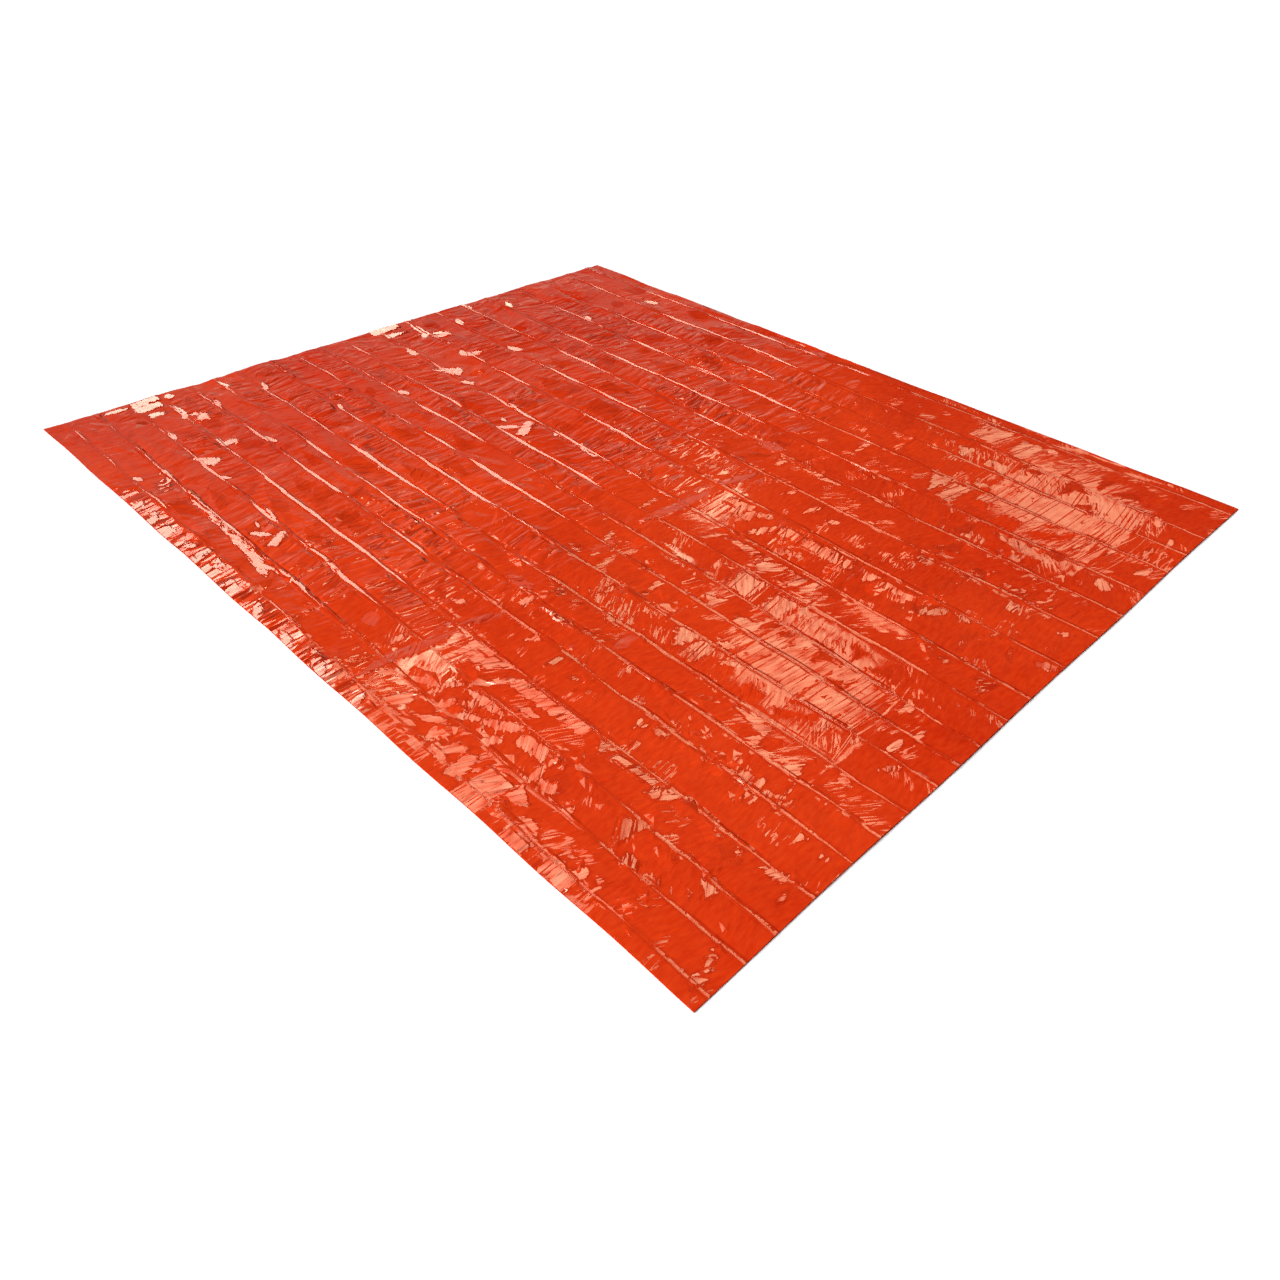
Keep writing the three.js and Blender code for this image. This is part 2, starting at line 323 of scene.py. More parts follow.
# Bright flaps in the near half.
LIT_FLAPS = (
    Flap(0.075, 0.877, 0.028, 0.006, -8, LENS),
    Flap(0.155, 0.886, 0.026, 0.006, 5, LENS),
    Flap(0.088, 0.823, 0.034, 0.008, -57, LENS),
    Flap(0.068, 0.745, 0.034, 0.016, -20, LENS),
    Flap(0.253, 0.757, 0.030, 0.011, 95, BLOCK),
    Flap(0.240, 0.716, 0.017, 0.012, 0, BLOCK),
    Flap(0.222, 0.742, 0.022, 0.012, 180, DART),
    Flap(0.256, 0.688, 0.020, 0.007, -70, LENS),
    Flap(0.158, 0.712, 0.034, 0.006, -42, LENS),
    Flap(0.122, 0.722, 0.017, 0.006, -28, LENS),
    Flap(0.145, 0.655, 0.022, 0.007, -45, LENS),
    Flap(0.078, 0.668, 0.036, 0.008, -63, LENS),
    Flap(0.127, 0.628, 0.026, 0.008, -55, LENS),
    Flap(0.155, 0.575, 0.042, 0.013, -55, LENS),
    Flap(0.222, 0.662, 0.034, 0.009, -32, LENS),
    Flap(0.242, 0.555, 0.090, 0.014, 92, BLOCK),
    Flap(0.168, 0.640, 0.048, 0.010, 92, LENS),
    Flap(0.118, 0.682, 0.020, 0.011, -20, BLOCK),
    Flap(0.062, 0.588, 0.015, 0.012, -20, BLOCK),
    Flap(0.042, 0.600, 0.030, 0.010, 75, LENS),
    Flap(0.050, 0.548, 0.028, 0.014, 15, BLOCK),
    Flap(0.205, 0.572, 0.024, 0.007, -80, LENS),
    Flap(0.118, 0.560, 0.016, 0.009, -15, BLOCK),
    Flap(0.310, 0.902, 0.020, 0.007, -60, LENS),
    Flap(0.325, 0.642, 0.024, 0.008, -15, LENS),
    Flap(0.336, 0.718, 0.016, 0.010, 150, DART),
    Flap(0.318, 0.585, 0.014, 0.005, -65, LENS),
    Flap(0.408, 0.815, 0.018, 0.008, 10, BLOCK),
    Flap(0.414, 0.720, 0.060, 0.007, 92, LENS),
    Flap(0.040, 0.485, 0.040, 0.032, 0, BLOCK),
    Flap(0.158, 0.500, 0.032, 0.015, 92, BLOCK),
    Flap(0.138, 0.454, 0.036, 0.007, 0, BLOCK),
    Flap(0.072, 0.430, 0.021, 0.024, -90, DART),
    Flap(0.118, 0.418, 0.018, 0.013, -60, BLOCK),
    Flap(0.046, 0.378, 0.022, 0.012, 80, LENS),
    Flap(0.112, 0.361, 0.012, 0.011, 0, DART),
    Flap(0.012, 0.372, 0.026, 0.011, 90, BLOCK),
    Flap(0.018, 0.282, 0.030, 0.017, 85, BLOCK),
    Flap(0.044, 0.258, 0.014, 0.010, 20, LENS),
    Flap(0.056, 0.297, 0.012, 0.012, -90, DART),
    Flap(0.136, 0.270, 0.033, 0.022, 194, DART),
    Flap(0.046, 0.229, 0.015, 0.011, 190, DART),
    Flap(0.109, 0.224, 0.016, 0.010, -75, BLOCK),
    Flap(0.107, 0.183, 0.022, 0.010, -80, LENS),
    Flap(0.148, 0.112, 0.018, 0.018, 195, DART),
    Flap(0.160, 0.193, 0.014, 0.005, 55, LENS),
    Flap(0.237, 0.422, 0.015, 0.020, 185, DART),
    Flap(0.241, 0.352, 0.045, 0.009, 92, BLOCK),
    Flap(0.234, 0.286, 0.032, 0.014, -50, LENS),
    Flap(0.254, 0.240, 0.022, 0.005, 80, LENS),
    Flap(0.251, 0.168, 0.018, 0.005, -68, LENS),
    Flap(0.318, 0.420, 0.012, 0.014, 180, DART),
    Flap(0.333, 0.382, 0.018, 0.011, 100, BLOCK),
    Flap(0.358, 0.214, 0.022, 0.013, 100, BLOCK),
    Flap(0.325, 0.191, 0.011, 0.010, 0, BLOCK),
    Flap(0.358, 0.168, 0.020, 0.008, -60, LENS),
    Flap(0.438, 0.264, 0.021, 0.016, -8, DART),
    Flap(0.421, 0.236, 0.013, 0.008, 90, BLOCK),
    Flap(0.433, 0.176, 0.020, 0.018, -15, DART),
    Flap(0.680, 0.876, 0.020, 0.006, 15, LENS),
    Flap(0.550, 0.735, 0.026, 0.006, 0, LENS),
    Flap(0.612, 0.683, 0.028, 0.007, 4, BLOCK),
    Flap(0.482, 0.660, 0.030, 0.008, 75, LENS),
    Flap(0.664, 0.568, 0.021, 0.024, 200, DART),
    Flap(0.535, 0.532, 0.034, 0.028, 190, DART),
    Flap(0.531, 0.488, 0.033, 0.020, -5, BLOCK),
    Flap(0.757, 0.570, 0.032, 0.036, 0, BLOCK),
    Flap(0.750, 0.478, 0.030, 0.024, 0, BLOCK),
    Flap(0.660, 0.482, 0.026, 0.015, 92, BLOCK),
    Flap(0.584, 0.462, 0.022, 0.010, -70, LENS),
    Flap(0.470, 0.306, 0.042, 0.022, 90, DART),
    Flap(0.548, 0.424, 0.024, 0.009, -60, LENS),
    Flap(0.538, 0.206, 0.020, 0.012, 178, DART),
    Flap(0.549, 0.152, 0.014, 0.007, 170, DART),
    Flap(0.590, 0.098, 0.024, 0.006, 5, LENS),
    Flap(0.642, 0.084, 0.020, 0.006, 5, LENS),
    Flap(0.540, 0.075, 0.020, 0.006, -32, LENS),
    Flap(0.692, 0.136, 0.022, 0.008, 32, LENS),
    Flap(0.775, 0.425, 0.018, 0.008, 65, LENS),
    Flap(0.465, 0.108, 0.020, 0.012, 40, LENS),
    Flap(0.036, 0.028, 0.011, 0.008, -20, BLOCK),
    Flap(0.066, 0.034, 0.028, 0.006, 24, LENS),
    Flap(0.244, 0.062, 0.027, 0.009, -74, LENS),
    Flap(0.234, 0.128, 0.020, 0.004, 40, LENS),
    Flap(0.222, 0.034, 0.018, 0.003, 10, LENS),
    Flap(0.362, 0.140, 0.026, 0.004, -14, LENS),
    Flap(0.388, 0.158, 0.020, 0.003, 12, LENS),
    Flap(0.322, 0.086, 0.014, 0.005, -60, LENS),
    Flap(0.319, 0.035, 0.008, 0.004, -70, LENS),
)
# Long pale flaps on both sides of the fold half way along.
PINK_FLAPS = (
    Flap(0.095, 1.178, 0.060, 0.004, 3, LENS),
    Flap(0.215, 1.184, 0.064, 0.004, 0, LENS),
    Flap(0.500, 1.190, 0.090, 0.004, 0, LENS),
    Flap(0.690, 1.186, 0.060, 0.003, 2, LENS),
    Flap(0.110, 0.846, 0.075, 0.012, 2, LENS),
    Flap(0.180, 0.838, 0.080, 0.013, -3, LENS),
    Flap(0.308, 0.828, 0.046, 0.013, -20, LENS),
    Flap(0.435, 0.872, 0.040, 0.014, 90, LENS),
    Flap(0.240, 0.858, 0.024, 0.005, -5, LENS),
)
# Flaps inside the bright patches that turn away from the lamps.
DULL_FLAPS = (
    Flap(0.532, 0.418, 0.014, 0.014, 0, BLOCK),
    Flap(0.520, 0.350, 0.022, 0.016, 30, DART),
    Flap(0.528, 0.264, 0.028, 0.014, -50, DART),
    Flap(0.684, 0.322, 0.024, 0.018, 175, DART),
    Flap(0.646, 0.268, 0.018, 0.012, 110, DART),
    Flap(0.735, 0.280, 0.024, 0.016, 180, DART),
    Flap(0.690, 0.408, 0.016, 0.010, -60, LENS),
    Flap(0.545, 0.238, 0.022, 0.007, -20, LENS),
    Flap(0.512, 0.345, 0.020, 0.020, 10, BLOCK),
    Flap(0.580, 0.442, 0.016, 0.006, 8, LENS),
    Flap(0.692, 0.438, 0.020, 0.007, -25, LENS),
    Flap(0.690, 0.310, 0.030, 0.006, 88, LENS),
    Flap(0.665, 0.325, 0.014, 0.008, 180, DART),
    Flap(0.642, 0.262, 0.022, 0.007, 75, DART),
    Flap(0.556, 0.272, 0.020, 0.005, -60, LENS),
    Flap(0.726, 0.230, 0.030, 0.014, 120, DART),
    Flap(0.716, 0.345, 0.026, 0.004, 88, LENS),
    Flap(0.606, 0.398, 0.020, 0.004, -30, LENS),
)
# Where the film is crumpled into small facets and shards.
CRUMPLED = (
    Zone(0.905, 1.600, 0.905, 0.560, 0.04),
    Zone(0.905, 0.530, 0.905, 0.560, 0.07),
    Zone(0.140, 0.460, 0.140, 0.400, 0.16),
    Zone(0.350, 0.340, 0.030, 0.100, 0.40),
    Zone(0.560, 0.200, 0.160, 0.200, 0.12),
    Zone(0.960, 0.450, 0.060, 0.380, 0.16),
    Zone(1.120, 0.330, 0.045, 0.110, 0.40),
    Zone(1.500, 0.200, 0.250, 0.200, 0.12),
)
# Where it lies flatter than around.
CALM = (
    Zone(0.635, 0.320, 0.190, 0.320, 1.0),
    Zone(1.534, 0.300, 0.270, 0.340, 1.0),
    Zone(0.185, 0.800, 0.100, 0.050, 1.0),
    Zone(0.940, 0.820, 0.180, 0.160, 0.9),
)
# Where wrinkles run across it.
WRINKLED = (
    Zone(0.905, 1.480, 0.920, 0.720, 1.00),
    Zone(0.905, 0.560, 0.905, 0.600, 0.25),
)
# Where thin creases lie close together.
LINED = (
    Zone(0.242, 0.555, 0.018, 0.110, 1.0),
    Zone(0.168, 0.640, 0.014, 0.060, 1.0),
    Zone(0.040, 0.485, 0.044, 0.040, 0.8),
    Zone(0.015, 0.330, 0.024, 0.120, 0.8),
    Zone(0.530, 0.490, 0.038, 0.030, 1.0),
    Zone(0.755, 0.530, 0.040, 0.090, 0.8),
    Zone(0.225, 0.780, 0.040, 0.026, 1.0),
    Zone(0.625, 0.300, 0.160, 0.200, 0.40),
    Zone(0.965, 0.555, 0.028, 0.110, 1.0),
    Zone(0.950, 0.800, 0.055, 0.028, 1.0),
    Zone(1.385, 0.485, 0.055, 0.034, 1.0),
    Zone(1.715, 0.530, 0.090, 0.100, 0.8),
    Zone(1.530, 0.280, 0.240, 0.220, 0.65),
)
# Where the left edge gathers.
PUCKERED = (
    Zone(0.000, 1.250, 0.050, 0.560, 1.0),
)
# Where thin creases catch the light.
STREAKED = (
    Zone(0.905, 0.400, 1.400, 0.620, 1.0),
    Zone(0.130, 0.450, 0.200, 0.520, 1.0),
)
# Where the painted shade lines beside the folds are faint.
FAINT = (
    Zone(0.030, 1.450, 0.035, 0.720, 1.0),
    Zone(0.120, 0.700, 0.220, 0.400, 1.0),
)
# Where they are clear.
CLEAR = (
    Zone(0.630, 0.300, 0.160, 0.190, 1.0),
    Zone(1.530, 0.290, 0.240, 0.220, 1.0),
)
# Where the folds are lower and their crests catch less light.
QUIET = (*FAINT, *CLEAR)
# Where the panels are uneven in large flat patches.
PATCHED = (
    Zone(0.905, 1.620, 1.200, 0.680, 1.0),
)


def both_halves(flaps: tuple[Flap, ...]) -> list[Flap]:
    """Flaps, and those of the left half once more in the right one."""
    return [*flaps, *(flap.repeated() for flap in flaps if REPEAT.start < flap.across < REPEAT.stop)]


class LampShape(Enum):
    """The outline of a lamp's face, by the names that the lamp takes."""

    RECTANGLE = "RECTANGLE"
    ELLIPSE = "ELLIPSE"


class Softbox(NamedTuple):
    """A lamp with an even face that looks straight down: its middle, two sides, glow, colour and shape."""

    name: str
    place: Triple
    size: tuple[float, float]
    glow: float
    colour: Triple
    shape: LampShape


class Panel(NamedTuple):
    """A dim upright panel beyond one end of the sheet: its middle, two sides, glow and turn in degrees."""

    name: str
    place: Triple
    size: tuple[float, float]
    glow: float
    turn: float


class Window(NamedTuple):
    """A distant bright pane that faces the sheet: its bearing from +Y, height angle, two spans and glow."""

    name: str
    bearing: float
    climb: float
    span: tuple[float, float]
    glow: float

    def place(self) -> Vector:
        """Where the pane stands.

        Returns:
            Its middle.
        """
        bearing, climb = math.radians(self.bearing), math.radians(self.climb)
        level = math.cos(climb)
        way = Vector((math.sin(bearing) * level, math.cos(bearing) * level, math.sin(climb)))
        return WINDOW_DISTANCE * way


WARM = (1.0, 0.74, 0.44)
PALE = (1.0, 0.90, 0.58)
CREAM = (1.0, 0.88, 0.70)
WHITE = (1.0, 0.97, 0.93)
SOFTBOXES = (
    Softbox("softbox_a", (1.781, 0.545, 2.0), (0.68, 0.76), 3.2, WARM, LampShape.ELLIPSE),
    Softbox("softbox_b", (4.226, 0.445, 2.0), (0.96, 0.86), 1.95, WARM, LampShape.ELLIPSE),
    Softbox("softbox_c", (0.536, 1.836, 2.0), (0.36, 0.16), 7.2, PALE, LampShape.RECTANGLE),
    Softbox("softbox_d", (2.62, 1.86, 2.0), (0.36, 0.22), 5.0, PALE, LampShape.RECTANGLE),
    Softbox("softbox_e", (-0.45, 0.95, 2.0), (0.95, 1.40), 3.2, PALE, LampShape.RECTANGLE),
)
PANELS = (
    Panel("panel", (3.4, 4.8, 1.90), (9.0, 1.5), 0.37, -90.0),
    Panel("panel_high", (3.4, 4.8, 3.10), (9.0, 0.9), 0.12, -90.0),
    Panel("strip", (4.0, 6.0, 1.25), (9.0, 0.8), 0.60, -90.0),
    Panel("panel_behind", (1.0, -5.2, 2.10), (14.0, 1.8), 0.50, 90.0),
)
WINDOW_DISTANCE = 25.0
WINDOWS = (
    Window("window", -78.0, 56.0, (54.0, 36.0), 14.0),
)
# Where the flaps may lean: to the large softboxes, to one of some places on the panel, or to the window.
PHOTO_EYE = Vector((-1.4806, -1.5023, 1.1730))
LARGE_BOXES = ("softbox_a", "softbox_b", "softbox_e")
SOFT_PLACES = tuple(Vector(box.place) for box in SOFTBOXES if box.name in LARGE_BOXES)
VEIL_STEPS = 7
VEIL_PLACES = tuple(Vector((across, *PANELS[0].place[1:])) for across in range(VEIL_STEPS))
HARD_PLACES = tuple(pane.place() for pane in WINDOWS)


@dataclass(frozen=True)
class FlapKind:
    """One kind of flap: how it looks and where it leans.

    Attributes:
        flaps: The flaps, without their repeats.
        fray: How far the outline frays, in metres.
        gleam: How glossy the flap is.
        rim: How dark the painted shade line around it is.
        lamps: The lamps that it may lean to.
        slope: Its slopes across and along, if it leans to no lamp.
        middles: Places across, towards the nearest of which it rises.
        ragged: How much further a wide flap frays, for each metre of its half width.
        ragged_from: The half width from which it does.
        left_edge: How far the sheet's left margin reaches.
        left_gleam: How much glossier it is there.
        far_end: Where the sheet's far end starts.
        far_gleam: How much glossier it is there.
    """

    flaps: tuple[Flap, ...]
    fray: float
    gleam: float
    rim: float
    lamps: tuple[Vector, ...] = ()
    slope: tuple[float, float] = (0.0, 0.0)
    middles: tuple[float, ...] = ()
    ragged: float = 0.0
    ragged_from: float = 0.003
    left_edge: float = 0.05
    left_gleam: float = 0.15
    far_end: float = 2.0
    far_gleam: float = 0.5

    def frayed(self, flap: Flap) -> float:
        """How far one flap's outline frays."""
        return max(self.fray, self.ragged * (flap.half_width - self.ragged_from))

    def gloss(self, flap: Flap) -> float:
        """How glossy one flap is."""
        margin = self.left_gleam * (flap.across < self.left_edge)
        return self.gleam + margin + self.far_gleam * (flap.along > self.far_end)


# Each kind covers the ones before it.
FLAP_KINDS = (
    FlapKind(DIM_FLAPS, fray=0.020, gleam=1.0, rim=0.0, slope=(-0.02, 0.08)),
    FlapKind(PINK_FLAPS, fray=0.010, gleam=1.7, rim=0.0, lamps=VEIL_PLACES),
    FlapKind(LIT_FLAPS, fray=0.026, gleam=1.40, rim=0.35, lamps=SOFT_PLACES),
    FlapKind(GLINTS, fray=0.0028, gleam=0.85, rim=0.7, lamps=HARD_PLACES, ragged=1.6),
    FlapKind(DULL_FLAPS, fray=0.020, gleam=1.0, rim=0.0, slope=(0.11, 0.02), middles=(0.635, 1.534)),
)


NOISE_MIDDLE = 0.5
NOISE_DISTORTION = 0.35


class Noise(NamedTuple):
    """Even noise: its waves to a metre and its finer layers."""

    scale: float
    layers: float


class Waves(NamedTuple):
    """Noise longer across the sheet than along it: waves to a metre, finer layers, turn in radians."""

    across: float
    along: float
    layers: float
    turn: float = 0.0


class Ramp(NamedTuple):
    """How a value becomes a share: where the share starts, and how fast it grows from there."""

    start: float
    gain: float


class PaintedShadeLine(NamedTuple):
    """A line of painted shade beside a crest or an outline: its distance, half its width and its strength."""

    off: float
    reach: float
    strength: float


class Graph:
    """Short ways to add shader nodes to one material."""

    def __init__(self, tree: bpy.types.NodeTree) -> None:
        """Keeps the material's nodes."""
        self.tree = tree

    def node(self, kind: str, **values: Value) -> bpy.types.Node:
        """Adds a node and sets its inputs by name, with spaces written as underscores.

        Args:
            kind: The node's type.
            values: A value or a socket for each input.

        Returns:
            The node.
        """
        made = self.tree.nodes.new(kind)
        for name, value in values.items():
            self.feed(value, made.inputs[name.replace("_", " ")])
        return made

    def feed(self, value: Value, socket: Socket) -> None:
        """Links a socket to an input, or sets the input to a plain value.

        Args:
            value: The socket or the plain value.
            socket: The input.
        """
        if isinstance(value, Socket):
            self.tree.links.new(value, socket)
        else:
            socket.default_value = value

    def math(self, operation: str, *values: Value) -> Socket:
        """Adds a sum on plain numbers.

        Args:
            operation: The operation's name.
            values: A number or a socket for each input.

        Returns:
            The result.
        """
        made = self.tree.nodes.new("ShaderNodeMath")
        made.operation = operation
        for value, socket in zip(values, made.inputs):
            self.feed(value, socket)
        return made.outputs["Value"]

    def vector(self, operation: str, *values: Value) -> bpy.types.Node:
        """Adds a sum on vectors.

        Args:
            operation: The operation's name.
            values: A vector or a socket for each input.

        Returns:
            The node.
        """
        made = self.tree.nodes.new("ShaderNodeVectorMath")
        made.operation = operation
        for value, socket in zip(values, made.inputs):
            self.feed(value, socket)
        return made

    def attribute(self, name: str) -> Socket:
        """Reads one of the mesh's own values.

        Args:
            name: The value's name.

        Returns:
            The value.
        """
        made = self.tree.nodes.new("ShaderNodeAttribute")
        made.attribute_name = name
        return made.outputs["Fac"]

    def mixed(self, first: Value, second: Value, share: Value) -> Socket:
        """Adds a mix of two colours.

        Args:
            first: The colour where the share is 0.
            second: The colour where the share is 1.
            share: The second colour's share.

        Returns:
            The colour.
        """
        made = self.tree.nodes.new("ShaderNodeMix")
        made.data_type = "RGBA"
        for name, value in (("A", first), ("B", second), ("Factor", share)):
            self.feed(value, made.inputs[name])
        return made.outputs["Result"]

    def noise(self, place: Socket, noise: Noise) -> Socket:
        """Adds even noise.

        Args:
            place: The texture coordinates.
            noise: The noise's sizes.

        Returns:
            A value from 0 to 1.
        """
        made = self.node("ShaderNodeTexNoise", Vector=place, Scale=noise.scale, Detail=noise.layers)
        return made.outputs["Fac"]

    def waves(self, place: Socket, waves: Waves) -> Socket:
        """Adds noise that is longer across the sheet than along it.

        Args:
            place: The texture coordinates.
            waves: The noise's sizes.

        Returns:
            A value from 0 to 1.
        """
        scale, turn = (waves.across, waves.along, 1.0), (0.0, 0.0, waves.turn)
        moved = self.node("ShaderNodeMapping", Vector=place, Scale=scale, Rotation=turn).outputs["Vector"]
        made = self.node("ShaderNodeTexNoise", Vector=moved, Scale=1.0, Detail=waves.layers)
        self.feed(NOISE_DISTORTION, made.inputs["Distortion"])
        return made.outputs["Fac"]

    def total(self, *values: Value) -> Socket:
        """Adds values up."""
        return reduce(partial(self.math, "ADD"), values)

    def product(self, *values: Value) -> Socket:
        """Multiplies values."""
        return reduce(partial(self.math, "MULTIPLY"), values)

    def largest(self, *values: Value) -> Socket:
        """Takes the largest of some values."""
        return reduce(partial(self.math, "MAXIMUM"), values)

    def rest(self, share: Value) -> Socket:
        """Takes what a share leaves of 1."""
        return self.math("SUBTRACT", 1.0, share)

    def clamp(self, value: Value, most: float = 1.0) -> Socket:
        """Keeps a value between 0 and the most that it may be."""
        return self.math("MINIMUM", self.math("MAXIMUM", value, 0.0), most)

    def past(self, value: Socket, ramp: Ramp, most: float = 1.0) -> Socket:
        """Takes the share that a value gains past the start of a ramp."""
        return self.clamp(self.product(self.math("SUBTRACT", value, ramp.start), ramp.gain), most)

    def off_middle(self, noise: Socket) -> Socket:
        """Takes how far noise is from its middle."""
        return self.math("ABSOLUTE", self.math("SUBTRACT", noise, NOISE_MIDDLE))

    def crossing(self, noise: Socket, width: float) -> Socket:
        """Draws lines of a given half width where noise crosses its middle."""
        return self.rest(self.math("MINIMUM", self.math("DIVIDE", self.off_middle(noise), width), 1.0))

    def line(self, distance: Socket, line: PaintedShadeLine) -> Socket:
        """Draws a line of painted shade that is darkest at one distance and fades on both sides.

        Args:
            distance: The distance from a crest or an outline.
            line: The line's sizes.

        Returns:
            How dark it is, from 0 to 1.
        """
        off = self.math("ABSOLUTE", self.math("SUBTRACT", distance, line.off))
        dark = self.math("MAXIMUM", self.rest(self.math("DIVIDE", off, line.reach)), 0.0)
        return self.product(dark, line.strength)


@dataclass(frozen=True)
class Texture:
    """What the parts of the film's finish share.

    Attributes:
        place: Texture coordinates.
        spot: The same, with a slant that differs from panel to panel.
        steep: The same, with more slant.
        frayed: Fine noise, which also frays the flaps.
        ripples: Noise of the small wrinkles.
        gathers: Noise of the gathers along the left edge.
        depth: Distance to the flaps' frayed outlines, above zero inside.
        inside: 1 inside a flap and 0 outside.
        crease: 1 on the creases that fan out over the flaps.
        hollow: How dark the painted shade is in the hollows between the gathers.
        firm: 1 in the far half, where flaps are flat and even, and 0 in the near half.
    """

    place: Socket
    spot: Socket
    steep: Socket
    frayed: Socket
    ripples: Socket
    gathers: Socket
    depth: Socket
    inside: Socket
    crease: Socket
    hollow: Socket
    firm: Socket


@dataclass(frozen=True)
class DyeAndShade:
    """The film's colour: two close tones in clouds and a fine grain that is partly painted shade of small
    wrinkles, with painted shade towards both ends and the far right.
    """

    deep: Colour = (0.515, 0.0165, 0.0012, 1.0)
    bright: Colour = (0.765, 0.0570, 0.0085, 1.0)
    clouds: Noise = Noise(2.2, 3.0)
    # A fine grain of tone, which also paints the shade of small wrinkles.
    grain_and_shade: Waves = Waves(55.0, 150.0, 3.0)
    grain_middle: float = 0.44
    # Painted shade: the colour grows deeper towards both ends of the sheet and towards its far right.
    shade_to_ends: Triple = (0.0, -0.22, 0.0)
    shade_to_corner: Triple = (-0.12, -0.10, 0.0)

    def build(self, graph: Graph, texture: Texture) -> Socket:
        """Adds the colour, with its painted shade.

        Args:
            graph: The material's nodes.
            texture: What the finish's parts share.

        Returns:
            The colour.
        """
        grain_and_shade = graph.math("SUBTRACT", graph.waves(texture.spot, self.grain_and_shade), self.grain_middle)
        clouds = graph.noise(texture.place, self.clouds)
        # Painted shade, deeper towards both ends and the far right.
        mirrored = graph.vector("ABSOLUTE", texture.place).outputs["Vector"]
        ends = graph.vector("DOT_PRODUCT", mirrored, self.shade_to_ends).outputs["Value"]
        corner = graph.vector("DOT_PRODUCT", texture.place, self.shade_to_corner).outputs["Value"]
        return graph.mixed(self.deep, self.bright, graph.total(grain_and_shade, clouds, ends, corner))


@dataclass(frozen=True)
class PaintedShadeLines:
    """The film's painted shade lines: beside the folds, around and across the flaps, and in the wrinkles'
    valleys.
    """

    # The colour of the painted shade.
    colour: Colour = (0.200, 0.006, 0.0012, 1.0)
    left: PaintedShadeLine = PaintedShadeLine(-0.0060, 0.0030, 0.6)
    right: PaintedShadeLine = PaintedShadeLine(0.0055, 0.0032, 1.0)
    rim: PaintedShadeLine = PaintedShadeLine(-0.0014, 0.0022, 1.0)
    # How dark the painted shade is on the creases that fan out over the flaps.
    crease_depth: float = 0.55
    stroke_patches: Noise = Noise(13.0, 1.0)
    stroke_ramp: Ramp = Ramp(0.46, 9.0)
    stroke_width: float = 0.060
    stroke_depth: float = 0.50

    def build(self, graph: Graph, texture: Texture) -> Socket:
        """Adds all the painted shade lines, and the painted shade in the gathers' hollows.

        Args:
            graph: The material's nodes.
            texture: What the finish's parts share.

        Returns:
            How dark the painted shade makes the film, from 0 to 1.
        """
        outlines = self._outlines(graph, texture.depth)
        creases = graph.product(texture.inside, texture.crease, self.crease_depth)
        return graph.largest(outlines, creases, self._strokes(graph, texture), texture.hollow)

    def _outlines(self, graph: Graph, depth: Socket) -> Socket:
        """Adds the painted shade lines on each side of every fold, and the one around every flap.

        Args:
            graph: The material's nodes.
            depth: The distance to the flaps' frayed outlines.

        Returns:
            How dark the line is, from 0 to 1.
        """
        aside = graph.attribute("aside")
        beside = graph.largest(graph.line(aside, self.right), graph.line(aside, self.left))
        folds = graph.product(beside, graph.attribute("shade"))
        rims = graph.product(graph.line(depth, self.rim), graph.attribute("rim"))
        return graph.largest(folds, rims)

    def _strokes(self, graph: Graph, texture: Texture) -> Socket:
        """Adds short strokes of painted shade in the small wrinkles' valleys, in patches.

        Args:
            graph: The material's nodes.
            texture: What the finish's parts share.

        Returns:
            How dark the stroke is, from 0 to 1.
        """
        line = graph.crossing(texture.ripples, self.stroke_width)
        patches = graph.noise(texture.spot, self.stroke_patches)
        patch = graph.past(patches, self.stroke_ramp, self.stroke_depth)
        return graph.product(line, patch, graph.attribute("wrinkle"))


@dataclass(frozen=True)
class Sheen:
    """The film's gloss: uneven in the near half, steadier on the far half's flaps, dull on the painted shade
    lines.
    """

    patches: Noise = Noise(9.0, 3.0)
    facets: Noise = Noise(26.0, 2.0)
    from_patches: float = 0.6
    from_fray: float = 1.7
    from_facets: float = 1.1
    level: float = -1.20
    least: float = 0.05
    firm_level: float = 0.52
    firm_share: float = 0.8
    line_share: float = 0.9

    def build(self, graph: Graph, texture: Texture, lines: Socket) -> Socket:
        """Adds the gloss.

        Args:
            graph: The material's nodes.
            texture: What the finish's parts share.
            lines: How dark the film's painted shade lines are.

        Returns:
            The strength of its reflections.
        """
        uneven = graph.total(
            graph.product(texture.frayed, self.from_fray),
            self.level,
            graph.product(graph.noise(texture.spot, self.patches), self.from_patches),
            graph.product(graph.noise(texture.steep, self.facets), self.from_facets),
        )
        steady = graph.product(texture.inside, texture.firm, self.firm_share)
        even = graph.math("MULTIPLY_ADD", steady, graph.math("SUBTRACT", self.firm_level, uneven), uneven)
        gloss = graph.product(graph.math("MAXIMUM", even, self.least), graph.attribute("gleam"))
        dulled = graph.product(lines, graph.rest(texture.firm), self.line_share)
        return graph.product(gloss, graph.rest(dulled))


